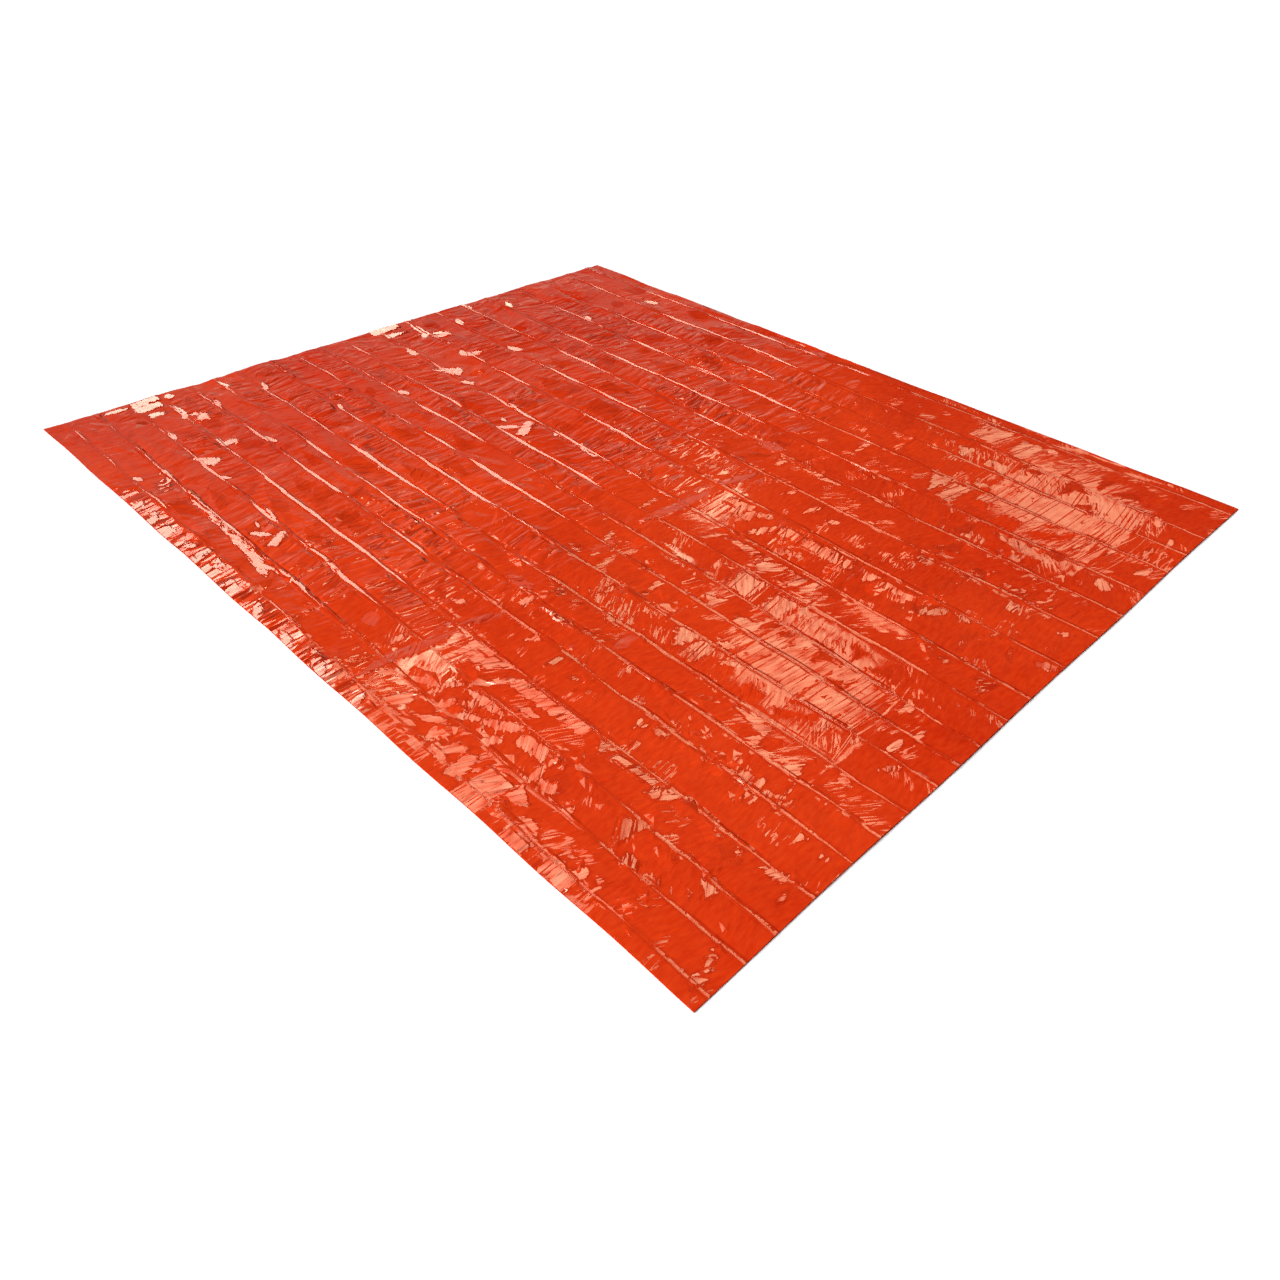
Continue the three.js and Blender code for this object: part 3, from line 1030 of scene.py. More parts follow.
@dataclass(frozen=True)
class Leans:
    """Where the film leans to a lamp: inside the flaps, on thin creases in patches, and on the gathers."""

    crease_firm: float = 0.85
    streaks: Waves = Waves(15.0, 100.0, 2.0)
    streak_width: float = 0.040
    streak_gain: float = 2.5
    streak_patches: Noise = Noise(16.0, 1.0)
    streak_ramp: Ramp = Ramp(0.50, 8.0)
    gather_ramp: Ramp = Ramp(0.50, 25.0)

    def build(self, graph: Graph, texture: Texture) -> Socket:
        """Adds the lean: the surface turns by the slopes kept in the mesh.

        Args:
            graph: The material's nodes.
            texture: What the finish's parts share.

        Returns:
            The turned normal.
        """
        whole = graph.largest(graph.rest(texture.crease), graph.product(texture.firm, self.crease_firm))
        flaps = graph.product(texture.inside, whole, graph.rest(texture.hollow))
        leaning = graph.largest(flaps, self._streaks(graph, texture))
        across, along = graph.attribute("lean_across"), graph.attribute("lean_along")
        slopes = graph.node("ShaderNodeCombineXYZ", X=across, Y=along).outputs["Vector"]
        tilt = graph.vector("MULTIPLY", slopes, (-1.0, -1.0, 0.0)).outputs["Vector"]
        lean = graph.vector("SCALE", tilt)
        graph.feed(leaning, lean.inputs["Scale"])
        level = graph.node("ShaderNodeNewGeometry").outputs["Normal"]
        turned = graph.vector("ADD", level, lean.outputs["Vector"]).outputs["Vector"]
        return graph.vector("NORMALIZE", turned).outputs["Vector"]

    def _streaks(self, graph: Graph, texture: Texture) -> Socket:
        """Adds the thin creases, where stretched noise crosses its middle, and the gathers' crests.

        Args:
            graph: The material's nodes.
            texture: What the finish's parts share.

        Returns:
            How far they lean, from 0 to 1.
        """
        line = graph.crossing(graph.waves(texture.steep, self.streaks), self.streak_width)
        line = graph.math("MINIMUM", graph.product(line, self.streak_gain), 1.0)
        patch = graph.past(graph.noise(texture.spot, self.streak_patches), self.streak_ramp)
        streak = graph.product(line, patch, graph.attribute("streak"))
        gather = graph.past(texture.gathers, self.gather_ramp)
        return graph.largest(streak, graph.product(gather, graph.attribute("pucker")))


@dataclass(frozen=True)
class Relief:
    """The film's fine relief: wrinkles across the sheet, gathers along the left edge, creases and shards."""

    broad: Waves = Waves(4.0, 30.0, 0.0)
    broad_start: float = 0.52
    broad_height: float = 0.0085
    ripple_height: float = 0.0085
    creases: Waves = Waves(3.0, 46.0, 1.0)
    crease_width: float = 0.045
    crease_height: float = 0.0003
    puckers: Waves = Waves(9.0, 42.0, 1.0, -0.05)
    pucker_height: float = 0.0040
    shard_cells: tuple[float, float] = (22.0, 32.0)
    shard_noise: Noise = Noise(30.0, 1.0)
    shard_stray: float = 0.014
    shard_slope: float = 0.16

    def build(self, graph: Graph, texture: Texture) -> Socket:
        """Adds the height of the relief, in metres."""
        return graph.total(self._wrinkles(graph, texture), self._shards(graph, texture.place))

    def _wrinkles(self, graph: Graph, texture: Texture) -> Socket:
        """Adds the wrinkles, the creases and the gathers.

        Args:
            graph: The material's nodes.
            texture: What the finish's parts share.

        Returns:
            The height in metres.
        """
        wrinkle = graph.attribute("wrinkle")
        broad = graph.math("SUBTRACT", graph.waves(texture.spot, self.broad), self.broad_start)
        crease = graph.crossing(graph.waves(texture.spot, self.creases), self.crease_width)
        pucker = graph.off_middle(graph.waves(texture.place, self.puckers))
        return graph.total(
            graph.product(graph.math("MAXIMUM", broad, 0.0), wrinkle, self.broad_height),
            graph.product(graph.off_middle(texture.ripples), wrinkle, self.ripple_height),
            graph.product(crease, graph.attribute("lined"), self.crease_height),
            graph.product(pucker, graph.attribute("pucker"), self.pucker_height),
        )

    def _shards(self, graph: Graph, place: Socket) -> Socket:
        """Adds flat shards: scattered cells, of which a share is tilted, each its own way.

        Args:
            graph: The material's nodes.
            place: The texture coordinates.

        Returns:
            The height in metres.
        """
        noise, stray = self.shard_noise, (self.shard_stray, self.shard_stray, 0.0)
        sway = graph.node("ShaderNodeTexNoise", Vector=place, Scale=noise.scale, Detail=noise.layers)
        moved = graph.vector("MULTIPLY_ADD", sway.outputs["Color"], stray, place).outputs["Vector"]
        spread = graph.vector("MULTIPLY", moved, (*self.shard_cells, 0.0)).outputs["Vector"]
        cells = graph.node("ShaderNodeTexVoronoi", Vector=spread, Scale=1.0)
        cells.voronoi_dimensions = "2D"
        offset = graph.vector("SUBTRACT", spread, cells.outputs["Position"]).outputs["Vector"]
        metres = graph.vector("DIVIDE", offset, (*self.shard_cells, 1.0)).outputs["Vector"]
        middle = (NOISE_MIDDLE, NOISE_MIDDLE, NOISE_MIDDLE)
        tilt = graph.vector("SUBTRACT", cells.outputs["Color"], middle).outputs["Vector"]
        plane = graph.vector("DOT_PRODUCT", metres, tilt).outputs["Value"]
        chance = graph.node("ShaderNodeSeparateXYZ", Vector=cells.outputs["Color"]).outputs["Z"]
        tilted = graph.math("LESS_THAN", chance, graph.attribute("crumple"))
        return graph.product(plane, graph.product(tilted, self.shard_slope / NOISE_MIDDLE))


@dataclass(frozen=True)
class FilmFinish:
    """Glossy dyed film: its roughness, the parts of its finish, painted shade among them, and the noise that
    they share.
    """

    roughness: float = 0.06
    # The dye, with painted shade of small wrinkles and towards the ends, and the painted shade lines.
    dye_and_shade: DyeAndShade = field(default_factory=DyeAndShade)
    lines: PaintedShadeLines = field(default_factory=PaintedShadeLines)
    sheen: Sheen = field(default_factory=Sheen)
    leans: Leans = field(default_factory=Leans)
    relief: Relief = field(default_factory=Relief)
    relief_firm: float = 0.75
    slant: float = 0.22
    steep_slant: float = 0.75
    panel_turn: float = 2.4
    panel_gap: float = 7.3
    fray: Waves = Waves(22.0, 120.0, 3.0)
    ripples: Waves = Waves(9.0, 36.0, 1.0)
    gathers: Waves = Waves(9.0, 72.0, 2.0)
    flap_edge: float = 0.0008
    creases: Waves = Waves(8.0, 74.0, 1.0)
    crease_width: float = 0.034
    # Painted shade in the hollows between the gathers: where it starts, how fast it grows and how dark it
    # gets.
    hollow: Ramp = Ramp(0.48, -14.0)
    hollow_depth: float = 0.65

    def build(self) -> bpy.types.Material:
        """Makes the film's material, with its fine relief as bump, which is lower on the far half's flaps.

        Returns:
            The material.
        """
        material = bpy.data.materials.new("glossy_orange_film")
        material.use_nodes = True
        graph = Graph(material.node_tree)
        texture = self._texture(graph)
        lines = self.lines.build(graph, texture)
        hold = graph.rest(graph.product(texture.inside, texture.firm, self.relief_firm))
        height, normal = self.relief.build(graph, texture), self.leans.build(graph, texture)
        bump = graph.node("ShaderNodeBump", Strength=hold, Distance=1.0, Height=height, Normal=normal)
        looks = {
            "Roughness": self.roughness,
            # The base colour: the dye and its painted shade, with the painted shade lines mixed over it.
            "Base Color": graph.mixed(self.dye_and_shade.build(graph, texture), self.lines.colour, lines),
            "Specular IOR Level": self.sheen.build(graph, texture, lines),
            "Normal": bump.outputs["Normal"],
        }
        shader = material.node_tree.nodes["Principled BSDF"]
        for name, value in looks.items():
            graph.feed(value, shader.inputs[name])
        return material

    def _texture(self, graph: Graph) -> Texture:
        """Adds what the parts of the finish share.

        Args:
            graph: The material's nodes.

        Returns:
            The coordinates, noise and masks.
        """
        place = graph.node("ShaderNodeTexCoord").outputs["Object"]
        spot = self._slanted(graph, place, self.slant)
        steep = self._slanted(graph, place, self.steep_slant)
        frayed = graph.waves(steep, self.fray)
        gathers = graph.waves(spot, self.gathers)
        stray = graph.math("SUBTRACT", frayed, NOISE_MIDDLE)
        depth = graph.math("MULTIPLY_ADD", stray, graph.attribute("fray"), graph.attribute("depth"))
        hollow = graph.past(gathers, self.hollow, self.hollow_depth)
        return Texture(
            place=place,
            spot=spot,
            steep=steep,
            frayed=frayed,
            ripples=graph.waves(spot, self.ripples),
            gathers=gathers,
            depth=depth,
            inside=graph.clamp(graph.math("DIVIDE", depth, self.flap_edge)),
            crease=graph.crossing(graph.waves(steep, self.creases), self.crease_width),
            hollow=graph.product(hollow, graph.attribute("pucker")),
            firm=graph.attribute("firm"),
        )

    def _slanted(self, graph: Graph, place: Socket, most: float) -> Socket:
        """Adds coordinates that slant and differ from panel to panel.

        Args:
            graph: The material's nodes.
            place: The texture coordinates.
            most: The largest slant.

        Returns:
            The coordinates.
        """
        split = graph.node("ShaderNodeSeparateXYZ", Vector=place)
        panel = graph.attribute("panel")
        slant = graph.product(graph.math("SINE", graph.product(panel, self.panel_turn)), most)
        across = split.outputs["X"]
        along = graph.math("MULTIPLY_ADD", across, slant, split.outputs["Y"])
        level = graph.product(panel, self.panel_gap)
        return graph.node("ShaderNodeCombineXYZ", X=across, Y=along, Z=level).outputs["Vector"]


@dataclass(frozen=True)
class RowForm:
    """How the rows lie: closer to the near end, and crowded at the cross folds and near the far end."""

    count: int = 281
    samples: int = 4000
    near: float = 0.5
    crowd: float = 0.8
    fold_reach: float = 0.02
    far_place: float = 2.07
    far_reach: float = 0.06


@dataclass(frozen=True)
class FoldForm:
    """How the long folds run and stand: their stray, their feet, their crests and the painted shade beside.
    """

    wander: Sway = Sway(0.0024, 0.085)
    kinks: Sway = Sway(0.0008, 0.024)
    foot: float = 0.007
    foot_sway: Sway = Sway(0.5, 0.070)
    swell: float = 0.55
    swell_sway: Sway = Sway(0.85, 0.075)
    swell_least: float = 0.08
    beads: Sway = Sway(0.55, 0.016)
    crest: float = 0.6
    flank_steepness: float = 2.0
    rise_along: Profile = Profile((0.8, 1.1), (0.55, 1.0))
    quiet: float = 0.4
    # Painted shade beside the folds: how dark it is, how far it reaches, and from what height it is darkest.
    shade: float = 0.85
    shade_reach: float = 0.020
    shade_rise: float = 0.0020


@dataclass(frozen=True)
class CrossForm:
    """How the cross folds stand: their feet, how they fade at both ends and differ from panel to panel."""

    foot: float = 0.012
    fade: float = 0.045
    step: float = 0.004
    strength: tuple[float, float] = (0.2, 1.0)
    crest: float = 0.4
    sharp: float = 0.6
    sharp_power: int = 4


@dataclass(frozen=True)
class PanelForm:
    """How the panels between the folds lie: how loose they are, how they ride up and down, crown and sag."""

    loose: Profile = Profile((0.09, 0.45), (0.00072, 0.0036))
    ride: Sway = Sway(1.0, 0.125, kinked=True)
    ruffle: Sway = Sway(0.6, 0.045)
    ruffle_rise: Profile = Profile((0.76, 0.88, 1.60, 1.72), (0.0, 0.0056, 0.0056, 0.0))
    crown: Sway = Sway(0.6, 0.105)
    calm: float = 0.85
    slack: Profile = Profile((0.90, 1.17), (0.55, 1.0))


@dataclass(frozen=True)
class CrestForm:
    """How wide the folds' lit crests are, and from where on they lean to the window instead of a softbox."""

    half_width: Profile = Profile(
        (0.0, 0.90, 1.20, 1.65, 1.85, 2.13), (0.0024, 0.0014, 0.0022, 0.0020, 0.0006, 0.0002)
    )
    uneven: Profile = Profile((0.0, 0.9, 1.2), (0.45, 0.8, 1.0))
    swell: Sway = Sway(0.0030, 0.085)
    kinks: Sway = Sway(0.0009, 0.022)
    quiet: float = 0.0022
    stations: int = 24
    soft_until: float = 0.98


@dataclass(frozen=True)
class CrumpleForm:
    """How the film crumples: how far the grid's points shift and rise, at which steps, and where they do."""

    shifts: tuple[tuple[int, float], ...] = ((4, 0.24), (2, 0.16))
    rises: tuple[tuple[int, float], ...] = ((4, 0.0030), (2, 0.0016))
    spread: float = 1.4
    beside_folds: float = 1.2
    fold_reach: float = 0.012
    most: float = 1.3
    patch_rise: float = 0.0011
    slant_chance: float = 0.5
    flap_clearance: float = 0.004


@dataclass(frozen=True)
class LookForm:
    """How the film looks where no flap lies, and how its wrinkles and painted shade change over the sheet."""

    # How dark the painted shade outline is where no flap lies.
    rim: float = 0.30
    fray: float = 0.002
    gleam: Profile = Profile((0.9, 1.1, 1.6, 1.8), (1.2, 0.85, 0.85, 0.6))
    left_edge: float = 0.05
    left_dull: float = 0.05
    flap_reach: float = 0.006
    firm: Profile = Profile((0.95, 1.10), (0.0, 1.0))
    wrinkle: float = 0.75
    wrinkle_sway: Sway = Sway(0.8, 0.14)
    wrinkle_most: float = 1.4
    wrinkle_calm: float = 0.7
    # How strong the painted shade beside the folds is along the sheet, and how much stronger in the clear
    # zones and fainter in the faint ones.
    shade: Profile = Profile((0.9, 1.2), (0.65, 1.0))
    shade_clear: float = 0.45
    shade_faint: float = 0.45


@dataclass
class FilmSheet:
    """The film: a grid that follows the folds, with a fine upper side and a coarser underside."""

    width: float
    length: float
    finish: FilmFinish = field(default_factory=FilmFinish)
    rows: RowForm = field(default_factory=RowForm)
    folds: FoldForm = field(default_factory=FoldForm)
    cross: CrossForm = field(default_factory=CrossForm)
    panels: PanelForm = field(default_factory=PanelForm)
    crests: CrestForm = field(default_factory=CrestForm)
    crumples: CrumpleForm = field(default_factory=CrumpleForm)
    looks: LookForm = field(default_factory=LookForm)
    film: float = 0.0004
    under_clearance: float = 0.0015
    edge_stray: float = 0.0022
    edge_waves: tuple[int, int, int, int] = (7, 4, 3, 6)
    flap_lift: float = 0.12
    steepest_lift: float = 0.06
    zone_fade: float = 3.0
    panel_steps: int = 12
    ridge_steps: int = 4
    coarse: int = 4
    sharp_angle: float = math.radians(3.0)
    seed: int = 7

    def __post_init__(self) -> None:
        """Sets out the rows, the folds' paths and the columns."""
        self.rng = np.random.default_rng(self.seed)
        self.row_places = self._rows()
        self._fold_paths()
        self._columns()
        cells = (np.array(self.across.shape) - 1) // self.coarse
        self.slant = self.rng.random(cells) < self.crumples.slant_chance
        self._shift()
        gaps = self.across[:, :, None] - self.paths.T[:, None, :]
        self.nearest = np.abs(gaps).argmin(axis=2)
        self.aside = np.take_along_axis(gaps, self.nearest[:, :, None], axis=2)[:, :, 0]

    def _strays(self, count: int, sway: Sway) -> Array:
        """Random curves along the sheet: random values at even steps, joined by S-shaped or straight ramps.

        Args:
            count: How many curves.
            sway: How far they stray, and how fast.

        Returns:
            One row for each curve, with a value for each row of the grid.
        """
        steps = self.row_places / sway.pitch
        low = np.floor(steps).astype(int)
        share = steps - low
        ramp = share if sway.kinked else share * share * (3.0 - 2.0 * share)
        values = self.rng.uniform(-1.0, 1.0, (count, int(low.max()) + 2))
        return sway.size * (values[:, low] * (1.0 - ramp) + values[:, low + 1] * ramp)

    def _rows(self) -> Array:
        """Places along of the rows.

        Returns:
            The places, from the near end to the far one.
        """
        form = self.rows
        fine = np.linspace(0.0, self.length, form.samples)
        density = 1.0 / (form.near + fine / self.length)
        crowds = [(0.5 * (fold.left + fold.right), form.fold_reach) for fold in CROSS_FOLDS]
        for middle, reach in (*crowds, (form.far_place, form.far_reach)):
            density += form.crowd * np.exp(-(((fine - middle) / reach) ** 2))
        total = np.concatenate([[0.0], np.cumsum(0.5 * (density[1:] + density[:-1]))])
        return np.interp(np.linspace(0.0, total[-1], form.count), total, fine)

    @staticmethod
    def _parabola(near: Array, middle: Array, far: Array, share: Array) -> Array:
        """The parabola through values at the near end, half way and the far end, at shares of the length."""
        bend = np.stack([(1 - share) * (1 - 2 * share), 4 * share * (1 - share), share * (2 * share - 1)])
        return np.stack([near, middle, far], axis=1) @ bend

    def _fold_paths(self) -> None:
        """Sets out each long fold's place across and height on each row: its parabolas and a small wander."""
        places, heights = np.split(np.array(LONG_FOLDS).T, 2)
        share = self.row_places / self.length
        wander = self._strays(len(LONG_FOLDS), self.folds.wander)
        kinks = self._strays(len(LONG_FOLDS), self.folds.kinks)
        self.paths = self._parabola(*places, share) + wander + kinks
        self.rises = self._parabola(*heights, share)

    def _columns(self) -> None:
        """Sets out the grid: each panel and each ridge is cut into the same number of steps across."""
        share = self.row_places / self.length
        wave_left, wave_right, wave_near, wave_far = self.edge_waves
        left = self._edge(wave_left, share)
        right = self.width - self._edge(wave_right, share)
        self.reach = self.folds.foot * (1.0 + self._strays(len(self.paths), self.folds.foot_sway))
        feet = np.stack([self.paths - self.reach, self.paths + self.reach], axis=1)
        stops = np.concatenate([left[None], feet.reshape(-1, self.rows.count), right[None]]).T
        parts = np.resize([self.panel_steps, self.ridge_steps], stops.shape[1] - 1)
        ends = np.append(0, np.cumsum(parts))
        self.segment = np.append(np.repeat(np.arange(len(parts)), parts), len(parts) - 1)
        self.step_share = (np.arange(ends[-1] + 1) - ends[self.segment]) / parts[self.segment]
        self.across = self._between(stops)
        near = self._edge(wave_near, self.across / self.width)
        far = self._edge(wave_far, self.across / self.width)
        straight = np.repeat(self.row_places[:, None], self.across.shape[1], axis=1)
        self.along = straight + near * (1 - share)[:, None] - far * share[:, None]
        self.panel = (self.segment + 1) // 2
        self.on_panel = self.segment % 2 == 0
        side = np.where(self.step_share < 0.5, -1, 1)
        self.panel_tag = (self.segment + np.where(self.on_panel, 0, side)) // 2

    def _edge(self, waves: int, share: Array) -> Array:
        """How far a cut edge strays inwards, in so many soft waves."""
        return self.edge_stray * np.sin(math.pi * waves * share) ** 2

    def _between(self, stops: Array) -> Array:
        """Even steps between neighbouring stops on each row.

        Args:
            stops: Values at the edges and at each fold's two feet, a row for each row of the grid.

        Returns:
            Values at every column.
        """
        start, stop = stops[:, self.segment], stops[:, self.segment + 1]
        return start + (stop - start) * self.step_share

    def _zones(self, zones: tuple[Zone, ...]) -> Array:
        """How much of a texture the film has at each point: level inside each zone, fading at its rim.

        Args:
            zones: The zones.

        Returns:
            A value from 0 to 1 for each point of the grid.
        """
        amount = np.zeros_like(self.across)
        for zone in zones:
            across = np.abs(self.across - zone.across) / zone.half_width
            along = np.abs(self.along - zone.along) / zone.half_length
            share = np.clip(self.zone_fade * (1.0 - np.maximum(across, along)), 0.0, 1.0)
            amount = np.maximum(amount, zone.amount * share)
        return amount

    def _ridges(self) -> Array:
        """Height of the long folds: each has a level crest and two straight flanks, and swells and fades.

        Returns:
            A height for each point of the grid.
        """
        form = self.folds
        swell = form.swell + self._strays(len(LONG_FOLDS), form.swell_sway)
        beads = 1.0 + self._strays(len(LONG_FOLDS), form.beads)
        rise = self.rises * np.clip(swell, form.swell_least, None) * beads
        # How dark the painted shade beside each fold is, on each row.
        strength = form.shade * np.clip(rise / form.shade_rise, 0.0, 1.0)
        height = np.zeros_like(self.across)
        self.shade = np.zeros_like(self.across)
        for path, top, reach, dark in zip(self.paths, rise, self.reach, strength):
            aside = np.abs(self.across - path[:, None])
            flank = form.flank_steepness * np.clip(1.0 - aside / reach[:, None], 0.0, None)
            height = np.maximum(height, form.crest * top[:, None] * np.minimum(flank, 1.0))
            self.shade = np.where(aside < form.shade_reach, dark[:, None], self.shade)
        return height * form.rise_along.at(self.along) * (1.0 - form.quiet * self._zones(QUIET))

    def _panels(self) -> Array:
        """Height of the panels between the folds: each fold rides up and down, and each panel crowns or sags.

        Returns:
            A height for each point of the grid.
        """
        form = self.panels
        count = len(LONG_FOLDS)
        places = np.array([0.0, *(fold.middle for fold in LONG_FOLDS), self.width])
        loose = form.loose.at(places)[:, None]
        base = 0.5 * loose * (1.0 + self._strays(count + 2, form.ride))
        ruffle = 1.0 + self._strays(1, form.ruffle)[0]
        base[1] += ruffle * form.ruffle_rise.at(self.row_places)
        stops = np.concatenate([base[:1], np.repeat(base[1:-1], 2, axis=0), base[-1:]]).T
        crown = 0.5 * (loose[1:] + loose[:-1]) * self._strays(count + 1, form.crown)
        arch = 4.0 * self.step_share * (1.0 - self.step_share) * self.on_panel
        level = 0.5 * np.repeat(loose[:, 0], [1, *([2] * count), 1])
        usual = self._between(np.broadcast_to(level, stops.shape))
        slack = (1.0 - form.calm * self._zones(CALM)) * form.slack.at(self.along)
        return usual + (self._between(stops) + crown.T[:, self.panel] * arch - usual) * slack

    def _cross_ridges(self) -> Array:
        """Height of the cross folds: ridges that step a little and differ in height from panel to panel.

        Returns:
            A height for each point of the grid.
        """
        form = self.cross
        height = np.zeros_like(self.across)
        count = len(LONG_FOLDS) + 1
        for fold in CROSS_FOLDS:
            step = form.step * self.rng.uniform(-1.0, 1.0, count)[self.panel]
            strength = self.rng.uniform(*form.strength, count)[self.panel]
            line = fold.left + (fold.right - fold.left) * self.across / self.width + step
            flank = np.clip(1.0 - np.abs(self.along - line) / form.foot, 0.0, None)
            begin = np.clip((self.across - fold.start) / form.fade, 0.0, 1.0)
            end = np.clip((fold.stop - self.across) / form.fade, 0.0, 1.0)
            slope = (1.0 - form.sharp) * flank + form.sharp * flank**form.sharp_power
            height = np.maximum(height, form.crest * fold.rise * strength * begin * end * slope)
        return height

    def _lifts(self) -> Array:
        """Height of the lifts: domes that meet the floor level.

        Returns:
            A height for each point of the grid.
        """
        height = np.zeros_like(self.across)
        for lift in LIFTS:
            across = (self.across - lift.across) / lift.half_width
            along = (self.along - lift.along) / lift.half_length
            height += lift.rise * np.clip(1.0 - across**2 - along**2, 0.0, None) ** 2
        return height

    def _depth(self, flap: Flap) -> Array:
        """How deep each point lies inside a flap: its distance to the outline, below zero outside.

        Args:
            flap: The flap.

        Returns:
            A distance for each point of the grid, in metres.
        """
        run, climb = math.cos(math.radians(flap.turn)), math.sin(math.radians(flap.turn))
        off_across, off_along = self.across - flap.across, self.along - flap.along
        forward = (off_across * run + off_along * climb) / flap.half_length
        aside = np.abs(off_along * run - off_across * climb)
        if flap.outline is Outline.LENS:
            width = 1.0 - forward**2
        elif flap.outline is Outline.DART:
            width = 0.5 * (1.0 - forward)
        else:
            width = np.ones_like(forward)
        return np.minimum(flap.half_width * width - aside, flap.half_length * (1.0 - np.abs(forward)))

    def _lean(self, across: float, along: float, lamps: tuple[Vector, ...]) -> tuple[float, float]:
        """The slope that faces half way between the camera and a lamp: the least steep of the choices.

        Args:
            across: The place across.
            along: The place along.
            lamps: The lamps' places.

        Returns:
            The slopes across and along.
        """
        spot = Vector((across - self.width / 2, along - self.length / 2, 0.0))
        halves = [(PHOTO_EYE - spot).normalized() + (lamp - spot).normalized() for lamp in lamps]
        half = max(halves, key=lambda way: way.normalized().z)
        return -half.x / half.z, -half.y / half.z

    def _slope(self, flap: Flap, kind: FlapKind) -> tuple[float, float]:
        """The slope of a flap: towards a lamp, up towards a middle, or the same for its whole kind.

        Args:
            flap: The flap.
            kind: Its kind.

        Returns:
            The slopes across and along.
        """
        if kind.lamps:
            return self._lean(flap.across, flap.along, kind.lamps)
        across, along = kind.slope
        if kind.middles:
            middle = min(kind.middles, key=lambda place: abs(place - flap.across))
            across = math.copysign(across, middle - flap.across)
        return across, along

    def _lit_crests(self) -> None:
        """Lets each fold's crest lean towards a lamp, in tapered lengths with gaps between them."""
        form = self.crests
        count = len(LONG_FOLDS)
        uneven = form.uneven.at(self.row_places)
        width = form.half_width.at(self.row_places) + uneven * self._strays(count, form.swell)
        width += uneven * self._strays(count, form.kinks)
        rows = np.arange(self.rows.count)[:, None]
        self.depth = width[self.nearest, rows] - np.abs(self.aside) - form.quiet * self._zones(QUIET)
        stations = np.linspace(0.0, self.length, form.stations)
        lamps = [SOFT_PLACES if place < form.soft_until else HARD_PLACES for place in stations]
        leans = np.zeros((count, 2, self.rows.count))
        for path, lean in zip(self.paths, leans):
            spots = zip(np.interp(stations, self.row_places, path), stations, lamps)
            slopes = np.array([self._lean(*spot) for spot in spots])
            lean[:] = [np.interp(self.row_places, stations, column) for column in slopes.T]
        self.lean_across = leans[self.nearest, 0, rows]
        self.lean_along = leans[self.nearest, 1, rows]

    def _flaps(self) -> Array:
        """Height of the flaps, each of which also leaves its looks for the finish.

        Returns:
            A height for each point of the grid.
        """
        form = self.looks
        # How dark the painted shade outline is at each point.
        self.rim = np.full_like(self.across, form.rim)
        self.fray = np.full_like(self.across, form.fray)
        self.gleam = form.gleam.at(self.along) - form.left_dull * (self.across < form.left_edge)
        self._lit_crests()
        height = np.zeros_like(self.across)
        for kind in FLAP_KINDS:
            for flap in both_halves(kind.flaps):
                height = np.maximum(height, self._lay(flap, kind))
        return height

    def _lay(self, flap: Flap, kind: FlapKind) -> Array:
        """Lays one flap on the sheet: it rises a little along its slope, and the rest is kept for the finish.

        Args:
            flap: The flap.
            kind: Its kind.

        Returns:
            Its height at each point of the grid.
        """
        slope_across, slope_along = self._slope(flap, kind)
        depth = self._depth(flap)
        deepest = depth > self.depth
        close = deepest & (depth > -self.looks.flap_reach)
        kept = 1.0 - self.flap_lift
        self.depth = np.where(deepest, depth, self.depth)
        self.lean_across = np.where(deepest, kept * slope_across, self.lean_across)
        self.lean_along = np.where(deepest, kept * slope_along, self.lean_along)
        self.fray = np.where(deepest, kind.frayed(flap), self.fray)
        self.gleam = np.where(close, kind.gloss(flap), self.gleam)
        # How dark the painted shade outline around this flap is.
        self.rim = np.where(close, kind.rim, self.rim)
        inside = depth > 0.0
        if not inside.any():
            return np.zeros_like(depth)
        lift = min(self.flap_lift, self.steepest_lift / math.hypot(slope_across, slope_along))
        plane = lift * (slope_across * self.across + slope_along * self.along)
        return np.where(inside, plane - plane[inside].min(), 0.0)

    def _between_points(self, step: int, values: Array) -> Array:
        """Values on the fine grid from values at every few points: flat triangles, two to each coarse cell.

        Args:
            step: How many fine steps there are in a coarse one.
            values: A value for each coarse point.

        Returns:
            A value for each point of the grid.
        """
        rows = np.minimum(np.arange(self.across.shape[0]) // step, values.shape[0] - 2)
        columns = np.minimum(np.arange(self.across.shape[1]) // step, values.shape[1] - 2)
        b = ((np.arange(self.across.shape[0]) - rows * step) / step)[:, None]
        a = ((np.arange(self.across.shape[1]) - columns * step) / step)[None, :]
        r, c = rows[:, None], columns[None, :]
        v00, v10, v01, v11 = values[r, c], values[r, c + 1], values[r + 1, c], values[r + 1, c + 1]
        right = v00 + a * (v10 - v00) + b * (v11 - v10)
        left = v00 + b * (v01 - v00) + a * (v11 - v01)
        lower = v00 + a * (v10 - v00) + b * (v01 - v00)
        upper = v11 + (1 - a) * (v01 - v11) + (1 - b) * (v10 - v11)
        slant = self.slant[r * step // self.coarse, c * step // self.coarse]
        return np.where(slant, np.where(a >= b, right, left), np.where(a + b <= 1.0, lower, upper))

